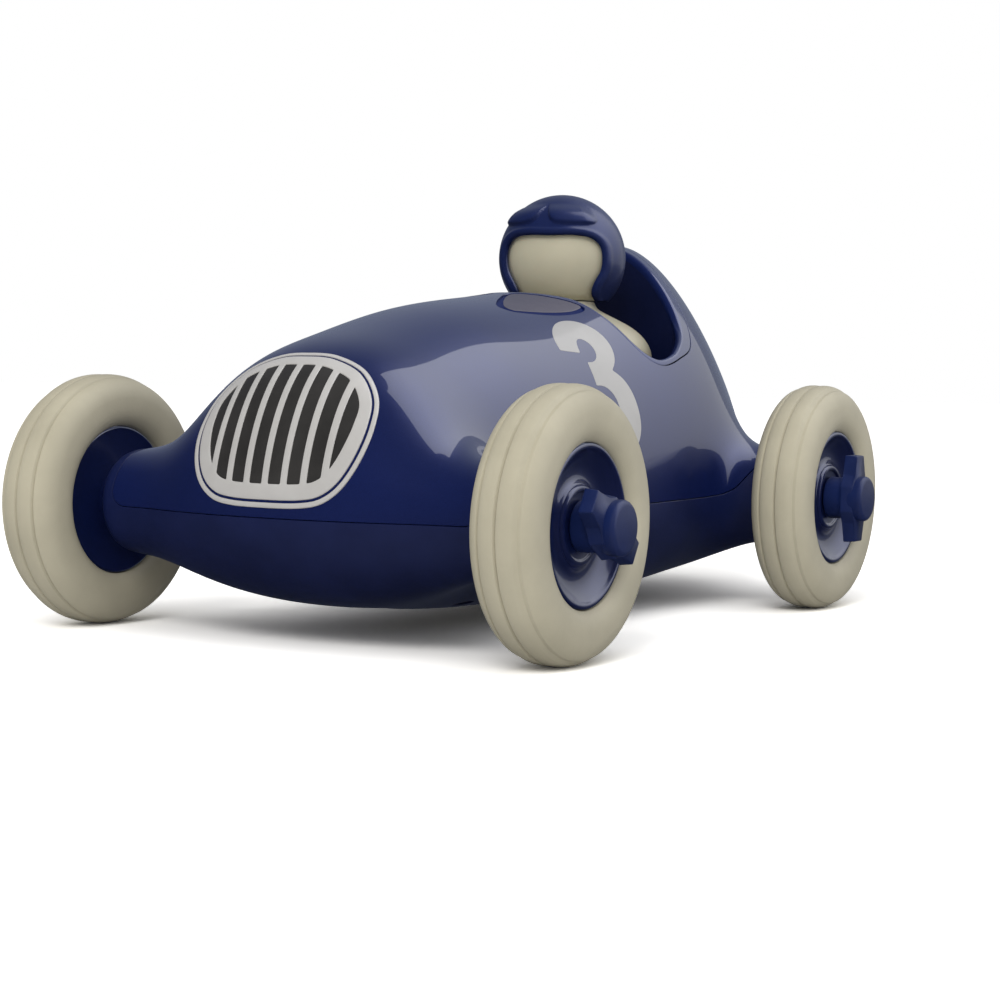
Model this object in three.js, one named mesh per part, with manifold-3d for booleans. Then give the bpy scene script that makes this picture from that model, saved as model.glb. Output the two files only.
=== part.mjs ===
// Push-along toy racing car with a driver: two-shell body, four rubber-tyred wheels on two steel axles.
// Millimetres. +X is the nose, +Y the car's left side, +Z up. The origin is on the ground under the
// middle of the car's bounding box.
import * as THREE from 'three';
import { mergeVertices } from 'three/addons/utils/BufferGeometryUtils.js';
import Module from 'manifold-3d';

const wasm = await Module();
wasm.setup();

// ---------------------------------------------------------------- driving dimensions
const GAP = 0.3;                  // left between pieces that touch

const TYRE_R = 35;
const TYRE_HALF_WIDTH = 9.24;
const TYRE_BORE_R = 20.7;
const HUB_R = TYRE_BORE_R - GAP;
const WHEELBASE = 166.3;
const TRACK = 147.4;              // between the tyres' middle planes
const AXLE_Z = TYRE_R;
const FRONT_AXLE_X = 100.15;
const REAR_AXLE_X = FRONT_AXLE_X - WHEELBASE;
const AXLE_R = 2.5;
const AXLE_BORE_R = AXLE_R + GAP;
const BUSH_R = 5;

const NOSE_X = 122.4;
const TAIL_X = -135.15;
const NOSE_ROUND_X = 81.4;        // where the nose and the tail begin to close
const TAIL_ROUND_X = -52;
const NOSE_POWER = 3.9;
const TAIL_POWER = 2.1;
const KEEL_POWER = 2.3;
const SEAM_Z = 34.3;              // height where the two shells part
const WALL = 3;
const BELLY_Z = 6;                // flat underneath

const ARM_R = 14.5;               // axle arms, round in section
const ARM_END_Y = 65.4;
const ARM_END_POWER = 40;
const ARM_SHELL_Y = 58.3;         // where the upper shell's front arms stop
const FRONT_BLEND = 17.4;         // how softly the arms grow out of the hull
const REAR_BLEND = 15.2;

const TUB_FLOOR_Z = 46;
const TUB_FLOOR = 2;
const DRIVER_X = -32;
const HELMET_R = 20;
const HELMET_Z = 108.5;
const HELMET_INSIDE_R = 18.2;
const HEAD_R = 17.5;
const HEAD_YAW = THREE.MathUtils.degToRad(15);
const NECK_Z = 95;

// Lines plan: x, crown height, half width, keel height, exponent across, exponent upwards.
const LINES = [
  [-148, 126, 45.5, 12, 2.0, 1.8],
  [-103, 122, 46.5, 9.5, 1.6, 1.45],
  [-78, 119, 48, 8, 1.5, 1.55],
  [-43, 107, 49, 5, 2.25, 1.95],
  [7, 96, 48, 5, 2.2, 2.0],
  [57, 90, 46.5, 5.5, 2.1, 2.05],
  [92, 81.5, 43.5, 10, 2.25, 2.0],
  [127, 74.5, 42, 19, 2.3, 2.15],
];

// Cockpit surround seen from above, from the front round one side to the back: x, y, width of the band.
const COCKPIT = [
  [3.5, 0, 2.2], [0.5, 9, 2.2], [-5.5, 18, 2.2], [-8.5, 27.5, 2.2], [-13, 36, 2.4], [-22, 40, 2.6],
  [-36, 40, 3.5], [-49, 37.5, 5.5], [-57.5, 29, 6], [-65, 14, 5], [-67.5, 0, 4.5],
];

// Grille outline seen from the front, from the bottom up one side: y, z.
const GRILLE = [
  [0, 36.1], [11, 36.4], [17.6, 38], [22.8, 42.4], [26.2, 49.6], [27.1, 57.6], [25, 65.2], [18.4, 72.1],
  [9, 75.8], [0, 76.5],
];
const GRILLE_SLOTS = 8;
const GRILLE_SLOT_PITCH = 5.8;
const GRILLE_SLOT_WIDTH = 3.8;
const GRILLE_BORDER = 5.6;
const GRILLE_DEPTH = 1.5;
const GRILLE_BACK_X = 99.6;       // nothing of the grille lies behind this

// ---------------------------------------------------------------- materials
function material(color, roughness, metalness) {
  return new THREE.MeshStandardMaterial({ color, roughness, metalness });
}
const paint = () => material(0x1b2a63, 0.25, 0.4);
const satinBlue = () => material(0x141f4d, 0.5, 0.2);
const darkBlue = () => material(0x101743, 0.45, 0.1);
const silver = () => material(0xc9cacc, 0.4, 0.8);
const cream = () => material(0xc6c0a6, 0.55, 0);
const rubber = () => material(0xcdc8b3, 0.7, 0);
const steel = () => material(0xa8abad, 0.35, 1);
const nylon = () => material(0xdadad4, 0.5, 0);

// ---------------------------------------------------------------- solids
const group = new THREE.Group();

/** A closed three.js geometry as a solid, turned right side out. */
function solid(geometry) {
  const bare = geometry.clone();
  bare.deleteAttribute('normal');
  bare.deleteAttribute('uv');
  const merged = mergeVertices(bare, 1e-4);
  const position = merged.attributes.position.array;
  const index = merged.index.array;
  const triangles = [];
  let volume = 0;
  const a = new THREE.Vector3();
  const b = new THREE.Vector3();
  const c = new THREE.Vector3();
  for (let i = 0; i < index.length; i += 3) {
    const [p, q, r] = [index[i], index[i + 1], index[i + 2]];
    if (p === q || q === r || r === p) continue;
    triangles.push(p, q, r);
    a.fromArray(position, 3 * p);
    b.fromArray(position, 3 * q);
    c.fromArray(position, 3 * r);
    volume += a.dot(b.cross(c));
  }
  if (volume < 0) triangles.reverse();
  const mesh = new wasm.Mesh({
    numProp: 3,
    vertProperties: new Float32Array(position),
    triVerts: new Uint32Array(triangles),
  });
  return new wasm.Manifold(mesh);
}

/** Adds a solid to the car as a named mesh. */
function add(name, body, look, parent = group) {
  const mesh = body.getMesh();
  const geometry = new THREE.BufferGeometry();
  geometry.setAttribute('position', new THREE.BufferAttribute(mesh.vertProperties, 3));
  geometry.setIndex(new THREE.BufferAttribute(mesh.triVerts, 1));
  geometry.computeVertexNormals();
  const node = new THREE.Mesh(geometry, look);
  node.name = name;
  parent.add(node);
  return node;
}

/** Extrudes a loop of [u, v] points by a length; the basis says which way u, v and the length run. */
function prism(loop, start, length, u, v, along) {
  const shape = new THREE.Shape(loop.map(([s, t]) => new THREE.Vector2(s, t)));
  const geometry = new THREE.ExtrudeGeometry(shape, { depth: length, bevelEnabled: false });
  geometry.translate(0, 0, start);
  geometry.applyMatrix4(new THREE.Matrix4().makeBasis(u, v, along));
  return solid(geometry);
}
const X = new THREE.Vector3(1, 0, 0);
const Y = new THREE.Vector3(0, 1, 0);
const Z = new THREE.Vector3(0, 0, 1);
const upPrism = (loop, z0, z1) => prism(loop, z0, z1 - z0, X, Y, Z);        // loop in x, y
const forwardPrism = (loop, x0, x1) => prism(loop, x0, x1 - x0, Y, Z, X);   // loop in y, z

/** Turns a loop of [radius, height] points about the Y axis. */
function turned(profile, segments) {
  const points = profile.map(([r, h]) => new THREE.Vector2(r, h));
  return solid(new THREE.LatheGeometry(points, segments));
}

/** Turns a loop of [radius, height] points about a vertical axis at x, y. */
function turnedUp(profile, x, y, segments) {
  const points = profile.map(([r, h]) => new THREE.Vector2(r, h));
  const geometry = new THREE.LatheGeometry(points, segments);
  geometry.rotateX(Math.PI / 2);
  geometry.translate(x, y, 0);
  return solid(geometry);
}

/** Upright cylinder. */
function pillar(x, y, r, z0, z1, segments = 10) {
  return turnedUp([[0, z0], [r, z0], [r, z1], [0, z1]], x, y, segments);
}

/** Cylinder along Y. */
function rod(x, r, y0, y1, z, segments = 12) {
  const geometry = new THREE.CylinderGeometry(r, r, y1 - y0, segments);
  geometry.translate(x, (y0 + y1) / 2, z);
  return solid(geometry);
}

// ---------------------------------------------------------------- curves
/** Natural cubic spline through the points (xs, ys), held level past its ends. */
function spline(xs, ys) {
  const n = xs.length;
  const bend = new Array(n).fill(0);
  const slope = new Array(n).fill(0);
  for (let i = 1; i < n - 1; i++) {
    const before = xs[i] - xs[i - 1];
    const after = xs[i + 1] - xs[i];
    const lead = 2 * (before + after) - before * bend[i - 1];
    const rise = (ys[i + 1] - ys[i]) / after - (ys[i] - ys[i - 1]) / before;
    bend[i] = after / lead;
    slope[i] = (6 * rise - before * slope[i - 1]) / lead;
  }
  const curve = new Array(n).fill(0);
  for (let i = n - 2; i > 0; i--) curve[i] = slope[i] - bend[i] * curve[i + 1];
  return (x) => {
    const at = Math.min(Math.max(x, xs[0]), xs[n - 1]);
    let i = 0;
    while (i < n - 2 && at > xs[i + 1]) i++;
    const h = xs[i + 1] - xs[i];
    const p = xs[i + 1] - at;
    const q = at - xs[i];
    return (curve[i] * p ** 3 + curve[i + 1] * q ** 3) / (6 * h)
      + (ys[i] / h - curve[i] * h / 6) * p + (ys[i + 1] / h - curve[i + 1] * h / 6) * q;
  };
}

/** Smooth closed loop through a half outline of [a, b] points and its mirror image in b or in a. */
function mirroredLoop(half, mirror, steps) {
  const back = half.slice(1, -1).reverse().map(mirror);
  const points = [...half, ...back].map(([a, b]) => new THREE.Vector3(a, b, 0));
  const curve = new THREE.CatmullRomCurve3(points, true, 'catmullrom', 0.5);
  return curve.getPoints(steps).slice(0, -1).map((p) => [p.x, p.y]);
}

/** Moves each point of a closed loop inwards, by one distance or by a distance for each point. */
function inset(loop, distance) {
  let area = 0;
  loop.forEach(([a, b], i) => {
    const [c, d] = loop[(i + 1) % loop.length];
    area += a * d - c * b;
  });
  const side = Math.sign(area);
  return loop.map(([a, b], i) => {
    const [p, q] = loop[(i + loop.length - 1) % loop.length];
    const [r, s] = loop[(i + 1) % loop.length];
    const length = Math.hypot(r - p, s - q);
    const step = typeof distance === 'number' ? distance : distance[i];
    return [a - side * step * (s - q) / length, b + side * step * (r - p) / length];
  });
}

// ---------------------------------------------------------------- body surface
const column = (k) => spline(LINES.map((row) => row[0]), LINES.map((row) => row[k]));
const crownZ = column(1);
const halfWidth = column(2);
const keelZ = column(3);
const acrossPower = column(4);
const upPower = column(5);

/** Hull without its arms: below zero inside. */
function hull(x, y, z) {
  const height = z >= SEAM_Z ? crownZ(x) - SEAM_Z : SEAM_Z - keelZ(x);
  const power = z >= SEAM_Z ? upPower(x) : KEEL_POWER;
  const nose = Math.max((x - NOSE_ROUND_X) / (NOSE_X - NOSE_ROUND_X), 0);
  const tail = Math.max((TAIL_ROUND_X - x) / (TAIL_ROUND_X - TAIL_X), 0);
  return (Math.abs(y) / halfWidth(x)) ** acrossPower(x) + (Math.abs(z - SEAM_Z) / height) ** power
    + nose ** NOSE_POWER + tail ** TAIL_POWER - 1;
}

/** One pair of axle arms: below zero inside. */
function arms(x, y, z, axleX) {
  return ((x - axleX) ** 2 + (z - AXLE_Z) ** 2) / ARM_R ** 2
    + (Math.abs(y) / ARM_END_Y) ** ARM_END_POWER - 1;
}

/** A field divided by its own slope, which is close to a distance in millimetres. */
function distance(field, x, y, z) {
  const e = 0.05;
  const dx = field(x + e, y, z) - field(x - e, y, z);
  const dy = field(x, y + e, z) - field(x, y - e, z);
  const dz = field(x, y, z + e) - field(x, y, z - e);
  const slope = Math.max(Math.hypot(dx, dy, dz) / (2 * e), 1e-3);
  return THREE.MathUtils.clamp(field(x, y, z) / slope, -40, 200);
}

/** Joins two distances with a fillet. */
function blend(a, b, width) {
  const t = THREE.MathUtils.clamp(0.5 + 0.5 * (b - a) / width, 0, 1);
  return b * (1 - t) + a * t - width * t * (1 - t);
}

/** Whole body: below zero inside, about a distance near the surface. */
function bodyDistance(x, y, z) {
  const front = distance((a, b, c) => arms(a, b, c, FRONT_AXLE_X), x, y, z);
  const rear = distance((a, b, c) => arms(a, b, c, REAR_AXLE_X), x, y, z);
  return blend(blend(distance(hull, x, y, z), front, FRONT_BLEND), rear, REAR_BLEND);
}

/** The length where a test first fails, between 0 and a limit. */
function reach(isInside, limit, step) {
  let inside = 0;
  while (inside + step < limit && isInside(inside + step)) inside += step;
  let outside = inside + step;
  for (let k = 0; k < 22; k++) {
    const middle = (inside + outside) / 2;
    if (isInside(middle)) inside = middle;
    else outside = middle;
  }
  return inside;
}

/** Rays from the body's centre line to its outline, nose to tail: share of the way, x, bearing. */
const RAYS = [
  [0, 95, 0], [0.12, 95, 52], [0.2, 96, 74], [0.28, 99, 93], [0.35, 88, 104], [0.58, -25, 92],
  [0.68, -57, 82], [0.77, -69, 96], [0.84, -83, 108], [1, -100, 180],
];
const RAY_COUNT = 34;
const RING_COUNT = 5;
function bodySolid(depth, rays = RAY_COUNT, rings = RING_COUNT) {
  const share = RAYS.map((row) => row[0]);
  const linear = (values, s) => {
    let i = 0;
    while (i < share.length - 2 && s > share[i + 1]) i++;
    return THREE.MathUtils.mapLinear(s, share[i], share[i + 1], values[i], values[i + 1]);
  };
  const grid = [];
  for (let i = 0; i <= rays; i++) {
    const x0 = linear(RAYS.map((row) => row[1]), i / rays);
    const bearing = THREE.MathUtils.degToRad(linear(RAYS.map((row) => row[2]), i / rays));
    const [cx, cy] = [Math.cos(bearing), Math.sin(bearing)];
    const length = reach((u) => bodyDistance(x0 + cx * u, cy * u, SEAM_Z) < -depth, 200, 1);
    const line = [];
    for (let j = 0; j <= rings; j++) {
      const u = length * Math.sin(j / rings * Math.PI / 2);
      const [x, y] = [x0 + cx * u, i === 0 || i === rays ? 0 : cy * u];
      const rise = (sign) => (j === rings ? 0
        : reach((h) => bodyDistance(x, y, SEAM_Z + sign * h) < -depth, 100, 100));
      line.push({ x, y, top: SEAM_Z + rise(1), bottom: SEAM_Z - rise(-1) });
    }
    grid.push(line);
  }
  const positions = [];
  const corner = (p, side, level) => positions.push(p.x, side * p.y, p[level]);
  for (const side of [1, -1]) {
    for (const level of ['top', 'bottom']) {
      const flip = (side === 1) === (level === 'top');
      for (let i = 0; i < rays; i++) {
        for (let j = 0; j < rings; j++) {
          const [a, b, c, d] = [grid[i][j], grid[i + 1][j], grid[i + 1][j + 1], grid[i][j + 1]];
          for (const p of flip ? [a, d, c, a, c, b] : [a, b, c, a, c, d]) corner(p, side, level);
        }
      }
    }
  }
  const geometry = new THREE.BufferGeometry();
  geometry.setAttribute('position', new THREE.Float32BufferAttribute(positions, 3));
  return solid(geometry);
}

// ---------------------------------------------------------------- the two shells
const outer = bodySolid(0);
const hollow = bodySolid(WALL);
const underGrille = bodySolid(GRILLE_DEPTH);
const everywhere = 400;           // longer than anything here
const SEAM_CORNER = 4.5;          // rounding where the seam turns up at the ends of the front arms

/** The space above the parting seam, grown by a margin; the seam drops at the rear arms' roots. */
function upperSpace(margin) {
  const z = SEAM_Z - margin;
  const y = ARM_SHELL_Y + margin;
  const corner = SEAM_CORNER;
  const front = [[-y, 150], [-y, z + corner], [-y + 1.3, z + 1.3], [-y + corner, z],
    [y - corner, z], [y - 1.3, z + 1.3], [y, z + corner], [y, 150]];
  const rear = [[-y - 3, 150], [-y - 3, 52], [-y, 44], [-54, z + 3], [-48, z],
    [48, z], [54, z + 3], [y, 44], [y + 3, 52], [y + 3, 150]];
  const middleX = (FRONT_AXLE_X + REAR_AXLE_X) / 2;
  return forwardPrism(front, middleX, everywhere).add(forwardPrism(rear, -everywhere, middleX));
}

const mirrorY = ([x, y]) => [x, -y];
const rim = mirroredLoop(COCKPIT.map(([x, y]) => [x, y]), mirrorY, 40);
const rimWidths = mirroredLoop(COCKPIT.map(([x, , w]) => [x, w]), ([x, w]) => [x, w], 40).map(([, w]) => w);
const rimInside = inset(rim, rimWidths);

const grilleOutline = mirroredLoop(GRILLE, ([y, z]) => [-y, z], 28);
const nosePrism = (loop) => forwardPrism(loop, GRILLE_BACK_X, everywhere);

/** Screws stand in pairs, one pair before the cockpit and one behind it: x, y. */
const SCREW_PLACES = {
  front_left: [62, 22], front_right: [62, -22], rear_left: [-98, 18], rear_right: [-98, -18],
};
const SCREW_R = 1.5;
const SCREW_HEAD_R = 3;
const SCREW_HEAD_Z = 15;
const SCREW_TIP_Z = 46;
const UPPER_POST_R = 4.5;
const LOWER_POST_R = 6;

const bellyCut = upPrism([[-200, -100], [200, -100], [200, 100], [-200, 100]], -50, BELLY_Z);

function upperShell() {
  let shell = outer.subtract(hollow).intersect(upperSpace(-GAP / 2));
  const noseSkin = nosePrism(inset(grilleOutline, -GAP)).subtract(underGrille.translate([-0.35, 0, -0.2]));
  shell = shell.subtract(upPrism(rim, 60, 200)).subtract(noseSkin);
  for (const [x, y] of Object.values(SCREW_PLACES)) {
    const post = pillar(x, y, UPPER_POST_R, SEAM_Z + GAP / 2, 200).intersect(outer);
    shell = shell.add(post).subtract(pillar(x, y, SCREW_R + GAP, 0, SCREW_TIP_Z + GAP));
  }
  return shell;
}

function lowerShell() {
  let shell = outer.subtract(hollow).subtract(upperSpace(GAP / 2)).subtract(bellyCut);
  const pad = bodySolid(0.2).intersect(
    upPrism([[-45, -16], [60, -16], [60, 16], [-45, 16]], BELLY_Z, BELLY_Z + WALL));
  shell = shell.add(pad);
  for (const [x, y] of Object.values(SCREW_PLACES)) {
    const post = pillar(x, y, LOWER_POST_R, BELLY_Z, SEAM_Z - GAP / 2).intersect(outer);
    shell = shell.add(post).subtract(pillar(x, y, SCREW_HEAD_R + GAP, 0, SCREW_HEAD_Z + GAP))
      .subtract(pillar(x, y, SCREW_R + GAP, 0, 60));
  }
  for (const x of [FRONT_AXLE_X, REAR_AXLE_X]) {
    shell = shell.subtract(rod(x, BUSH_R + GAP, -70, 70, AXLE_Z));
  }
  return shell;
}

add('upper_shell', upperShell(), paint());
add('lower_shell', lowerShell(), satinBlue());

// ---------------------------------------------------------------- grille
function grillePlate() {
  const plate = nosePrism(grilleOutline).intersect(outer).subtract(underGrille);
  const middleZ = (GRILLE[0][1] + GRILLE[GRILLE.length - 1][1]) / 2;
  const halfHeight = middleZ - GRILLE[0][1];
  const halfWide = Math.max(...GRILLE.map(([y]) => y));
  const field = nosePrism(grilleOutline.map(([y, z]) => [
    y * (1 - GRILLE_BORDER / halfWide), middleZ + (z - middleZ) * (1 - GRILLE_BORDER / halfHeight),
  ]));
  let slotted = plate;
  for (let k = 0; k < GRILLE_SLOTS; k++) {
    const y = (k - (GRILLE_SLOTS - 1) / 2) * GRILLE_SLOT_PITCH;
    const [left, right] = [y - GRILLE_SLOT_WIDTH / 2, y + GRILLE_SLOT_WIDTH / 2];
    const bar = nosePrism([[left, 0], [right, 0], [right, 120], [left, 120]]);
    slotted = slotted.subtract(bar.intersect(field));
  }
  return slotted.decompose().reduce((most, piece) => (piece.volume() > most.volume() ? piece : most));
}
add('grille_plate', grillePlate(), silver());

// ---------------------------------------------------------------- cockpit
const underSkin = bodySolid(WALL + GAP);

function cockpitSurround() {
  const band = upPrism(inset(rim, GAP), 60, 200).intersect(outer).subtract(bodySolid(WALL));
  return band.subtract(upPrism(rimInside, 50, 210));
}
add('cockpit_surround', cockpitSurround(), paint());

const SEAT_R = 21;
function cockpitTub() {
  const walls = upPrism(inset(rim, 1.2), TUB_FLOOR_Z, 200).intersect(underSkin);
  const inside = upPrism(inset(rimInside, 0.2), TUB_FLOOR_Z + TUB_FLOOR, 210);
  const socket = turnedUp([
    [SEAT_R + GAP, TUB_FLOOR_Z + 1], [SEAT_R + 2.5, TUB_FLOOR_Z + 1],
    [SEAT_R + 2.5, TUB_FLOOR_Z + 12], [SEAT_R + GAP, TUB_FLOOR_Z + 12], [SEAT_R + GAP, TUB_FLOOR_Z + 1],
  ], DRIVER_X, 0, 24);
  return walls.subtract(inside).add(socket);
}
add('cockpit_tub', cockpitTub(), darkBlue());

// ---------------------------------------------------------------- driver
const FOOT_Z = TUB_FLOOR_Z + TUB_FLOOR + GAP;
function driverTorso() {
  const profile = [
    [0, FOOT_Z], [SEAT_R, FOOT_Z], [SEAT_R, 59], [24, 62], [27.5, 68], [29, 75], [28.3, 80.5],
    [24.8, 85.3], [19, 89], [13.5, 91.8], [10.5, NECK_Z - 1.5], [10.5, NECK_Z], [5, NECK_Z],
    [5, NECK_Z + 6], [0, NECK_Z + 6],
  ];
  return turnedUp(profile, DRIVER_X, 0, 20);
}
add('driver_torso', driverTorso(), cream());

/** Ball between two heights, as a profile of [radius, height]. */
function ballProfile(r, z, from, to, steps) {
  const points = [];
  const start = Math.asin(THREE.MathUtils.clamp((from - z) / r, -1, 1));
  const end = Math.asin(THREE.MathUtils.clamp((to - z) / r, -1, 1));
  for (let k = 0; k <= steps; k++) {
    const angle = THREE.MathUtils.lerp(start, end, k / steps);
    points.push([r * Math.cos(angle), z + r * Math.sin(angle)]);
  }
  return points;
}

function driverHead() {
  const under = NECK_Z + GAP;
  const ball = ballProfile(HEAD_R, HELMET_Z, under + 1, HELMET_Z + HEAD_R, 7);
  ball[ball.length - 1][0] = 0;
  const socket = [[0, NECK_Z + 6 + GAP], [5 + GAP, NECK_Z + 6 + GAP], [5 + GAP, under], [10.5, under]];
  return turnedUp([...socket, ...ball], DRIVER_X, 0, 24);
}

function driverHelmet() {
  const outside = ballProfile(HELMET_R, HELMET_Z, NECK_Z, HELMET_Z + HELMET_R, 7);
  outside[outside.length - 1][0] = 0;
  const inside = ballProfile(HELMET_INSIDE_R, HELMET_Z, NECK_Z, HELMET_Z + HELMET_INSIDE_R, 7).reverse();
  inside[0][0] = 0;
  const bowl = turnedUp([...outside, ...inside, outside[0]], DRIVER_X, 0, 24);
  const half = [
    [0, 115.8], [10, 115.6], [14.2, 114], [16.2, 110], [15.8, 104], [13, 98.5], [12.5, 90], [0, 90],
  ];
  const face = [...half.slice(1, -1).map(([y, z]) => [-y, z]).reverse(), ...half];
  const opening = forwardPrism(face.slice(0, -1), 0, 60);
  const cut = opening.translate([DRIVER_X, 0, 0]);
  const goggles = goggleLens(1).add(goggleLens(-1)).subtract(
    turnedUp([[0, 80], ...ballProfile(HELMET_R - 1, HELMET_Z, HELMET_Z - 10, HELMET_Z + HELMET_R - 1, 6)],
      DRIVER_X, 0, 20));
  return bowl.subtract(cut).add(goggles);
}

/** One goggle lens, a flattened ball let into the forehead. */
function goggleLens(side) {
  const lens = new THREE.SphereGeometry(1, 12, 6);
  lens.scale(3.2, 7.4, 4.3);
  lens.rotateY(-THREE.MathUtils.degToRad(38));
  lens.translate(HELMET_R * Math.cos(0.7) - 1.2, 0, HELMET_R * Math.sin(0.7) - 0.6);
  lens.rotateZ(side * 0.5);
  lens.translate(DRIVER_X, 0, HELMET_Z);
  return solid(lens);
}

/** Turns a piece of the head about the neck to where the driver looks. */
function lookAside(body) {
  return body.translate([-DRIVER_X, 0, 0]).rotate([0, 0, THREE.MathUtils.radToDeg(HEAD_YAW)])
    .translate([DRIVER_X, 0, 0]);
}
add('driver_head', lookAside(driverHead()), cream());
add('driver_helmet', lookAside(driverHelmet()), paint());

// ---------------------------------------------------------------- wheels
const HUB_OUT = 6.8;              // hub faces, from the tyre's middle plane
const HUB_IN = -6.2;
const HUB_BARREL_IN = -6.5;
const HUB_FLOOR = 4.6;
const SPINNER_IN = HUB_FLOOR + GAP;
const EAR_IN = 10.8;
const EAR_OUT = 14.6;
const SPINNER_OUT = 17.8;
const AXLE_OUT = 12;
const EAR_LENGTH = 13.5;

function tyreSolid() {
  const middleR = 26;
  const rise = TYRE_R - middleR;
  const roundness = 2 / 2.55;
  const side = [];
  const steps = 3;
  for (let k = 1; k <= steps; k++) {
    const angle = k / steps * Math.PI / 2;
    const across = TYRE_HALF_WIDTH * Math.sin(angle) ** roundness;
    side.push([middleR + rise * Math.cos(angle) ** roundness, across]);
  }
  const grooves = [[TYRE_R - 0.9, 0], [TYRE_R, 0.6], [TYRE_R - 0.4, 4], [TYRE_R - 1.5, 4.6]];
  const half = [...grooves, ...side, [TYRE_BORE_R, HUB_OUT]];
  const mirrored = half.slice(1).reverse().map(([r, y]) => [r, -y]);
  return turned([...half, ...mirrored, half[0]], 20);
}

function hubSolid() {
  const profile = [
    [AXLE_BORE_R, HUB_FLOOR], [8.6, HUB_FLOOR], [8.6, 5.2], [9.6, 5.2], [10.4, 3.6], [15, 3.6],
    [19.2, 6.3], [HUB_R, HUB_OUT], [HUB_R, HUB_IN], [15, HUB_IN + 1], [7.5, HUB_IN + 1],
    [6.5, HUB_BARREL_IN], [AXLE_BORE_R, HUB_BARREL_IN], [AXLE_BORE_R, HUB_FLOOR],
  ];
  return turned(profile, 16);
}

function spinnerSolid() {
  const barrel = turned([
    [AXLE_BORE_R, SPINNER_IN], [6.4, SPINNER_IN], [6.4, EAR_IN], [6.9, EAR_OUT], [6.9, SPINNER_OUT - 1.2],
    [5.4, SPINNER_OUT], [0, SPINNER_OUT], [0, AXLE_OUT + GAP],
    [AXLE_BORE_R, AXLE_OUT + GAP], [AXLE_BORE_R, SPINNER_IN],
  ], 12);
  const ear = [[-4, -6], [-2.6, -EAR_LENGTH], [2.6, -EAR_LENGTH], [4, -6], [4, 6], [2.6, EAR_LENGTH],
    [-2.6, EAR_LENGTH], [-4, 6]];
  const shape = new THREE.Shape(ear.map(([u, v]) => new THREE.Vector2(u, v)));
  const bar = new THREE.ExtrudeGeometry(shape, {
    depth: EAR_OUT - EAR_IN - 1, bevelThickness: 0.5, bevelSize: 0.5, bevelSegments: 1,
  });
  bar.rotateX(-Math.PI / 2);
  bar.translate(0, EAR_IN + 0.5, 0);
  const bore = turned([[0, 0], [AXLE_BORE_R, 0], [AXLE_BORE_R, AXLE_OUT + GAP], [0, AXLE_OUT + GAP]], 12);
  return barrel.add(solid(bar)).subtract(bore);
}

const BUSH_IN = 59.5;             // from the car's middle plane
const BUSH_OUT = 65.8;
const BUSH_PROFILE = [
  [AXLE_BORE_R, BUSH_IN], [7.5, BUSH_IN], [7.5, BUSH_IN + 1], [BUSH_R, BUSH_IN + 1], [BUSH_R, BUSH_OUT],
  [AXLE_BORE_R, BUSH_OUT], [AXLE_BORE_R, BUSH_IN],
];
const WASHER_IN = BUSH_OUT + GAP;
const WASHER_OUT = WASHER_IN + 0.8;
const WASHER_PROFILE = [
  [AXLE_BORE_R, WASHER_IN], [6, WASHER_IN], [6, WASHER_OUT], [AXLE_BORE_R, WASHER_OUT],
  [AXLE_BORE_R, WASHER_IN],
];

/** Angle of the wheel nuts' ears from upright, in degrees. */
const SPINNER_ANGLE = { front: 58, rear: 0 };
const tyre = tyreSolid();
const hub = hubSolid();
const spinner = spinnerSolid();
const bush = turned(BUSH_PROFILE, 12);
const washer = turned(WASHER_PROFILE, 12);

for (const [end, x] of [['front', FRONT_AXLE_X], ['rear', REAR_AXLE_X]]) {
  add(`axle_${end}`, rod(0, AXLE_R, -TRACK / 2 - AXLE_OUT, TRACK / 2 + AXLE_OUT, 0), steel())
    .position.set(x, 0, AXLE_Z);
  for (const [side, turn] of [['left', 0], ['right', Math.PI]]) {
    const corner = new THREE.Group();
    corner.position.set(x, 0, AXLE_Z);
    corner.rotation.z = turn;
    group.add(corner);
    const place = `${end}_${side}`;
    add(`tyre_${place}`, tyre, rubber(), corner).position.y = TRACK / 2;
    add(`hub_${place}`, hub, paint(), corner).position.y = TRACK / 2;
    const nut = add(`spinner_${place}`, spinner, satinBlue(), corner);
    nut.position.y = TRACK / 2;
    nut.rotation.y = THREE.MathUtils.degToRad(SPINNER_ANGLE[end]) * (side === 'left' ? 1 : -1);
    add(`bush_${place}`, bush, nylon(), corner);
    add(`washer_${place}`, washer, steel(), corner);
  }
}

// ---------------------------------------------------------------- shell screws
for (const [place, [x, y]] of Object.entries(SCREW_PLACES)) {
  const screw = turnedUp([
    [0, SCREW_HEAD_Z - 2.2], [SCREW_HEAD_R, SCREW_HEAD_Z - 2.2], [SCREW_HEAD_R, SCREW_HEAD_Z],
    [SCREW_R, SCREW_HEAD_Z], [SCREW_R, SCREW_TIP_Z], [0, SCREW_TIP_Z],
  ], x, y, 8);
  add(`shell_screw_${place}`, screw, steel());
}

export default group;
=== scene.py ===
"""Looks of the push-along toy racing car. Lengths are worked out in millimetres and made in metres."""
import math

import bmesh
import bpy
import numpy as np
from mathutils import Matrix, Vector
from mathutils.geometry import delaunay_2d_cdt


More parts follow.
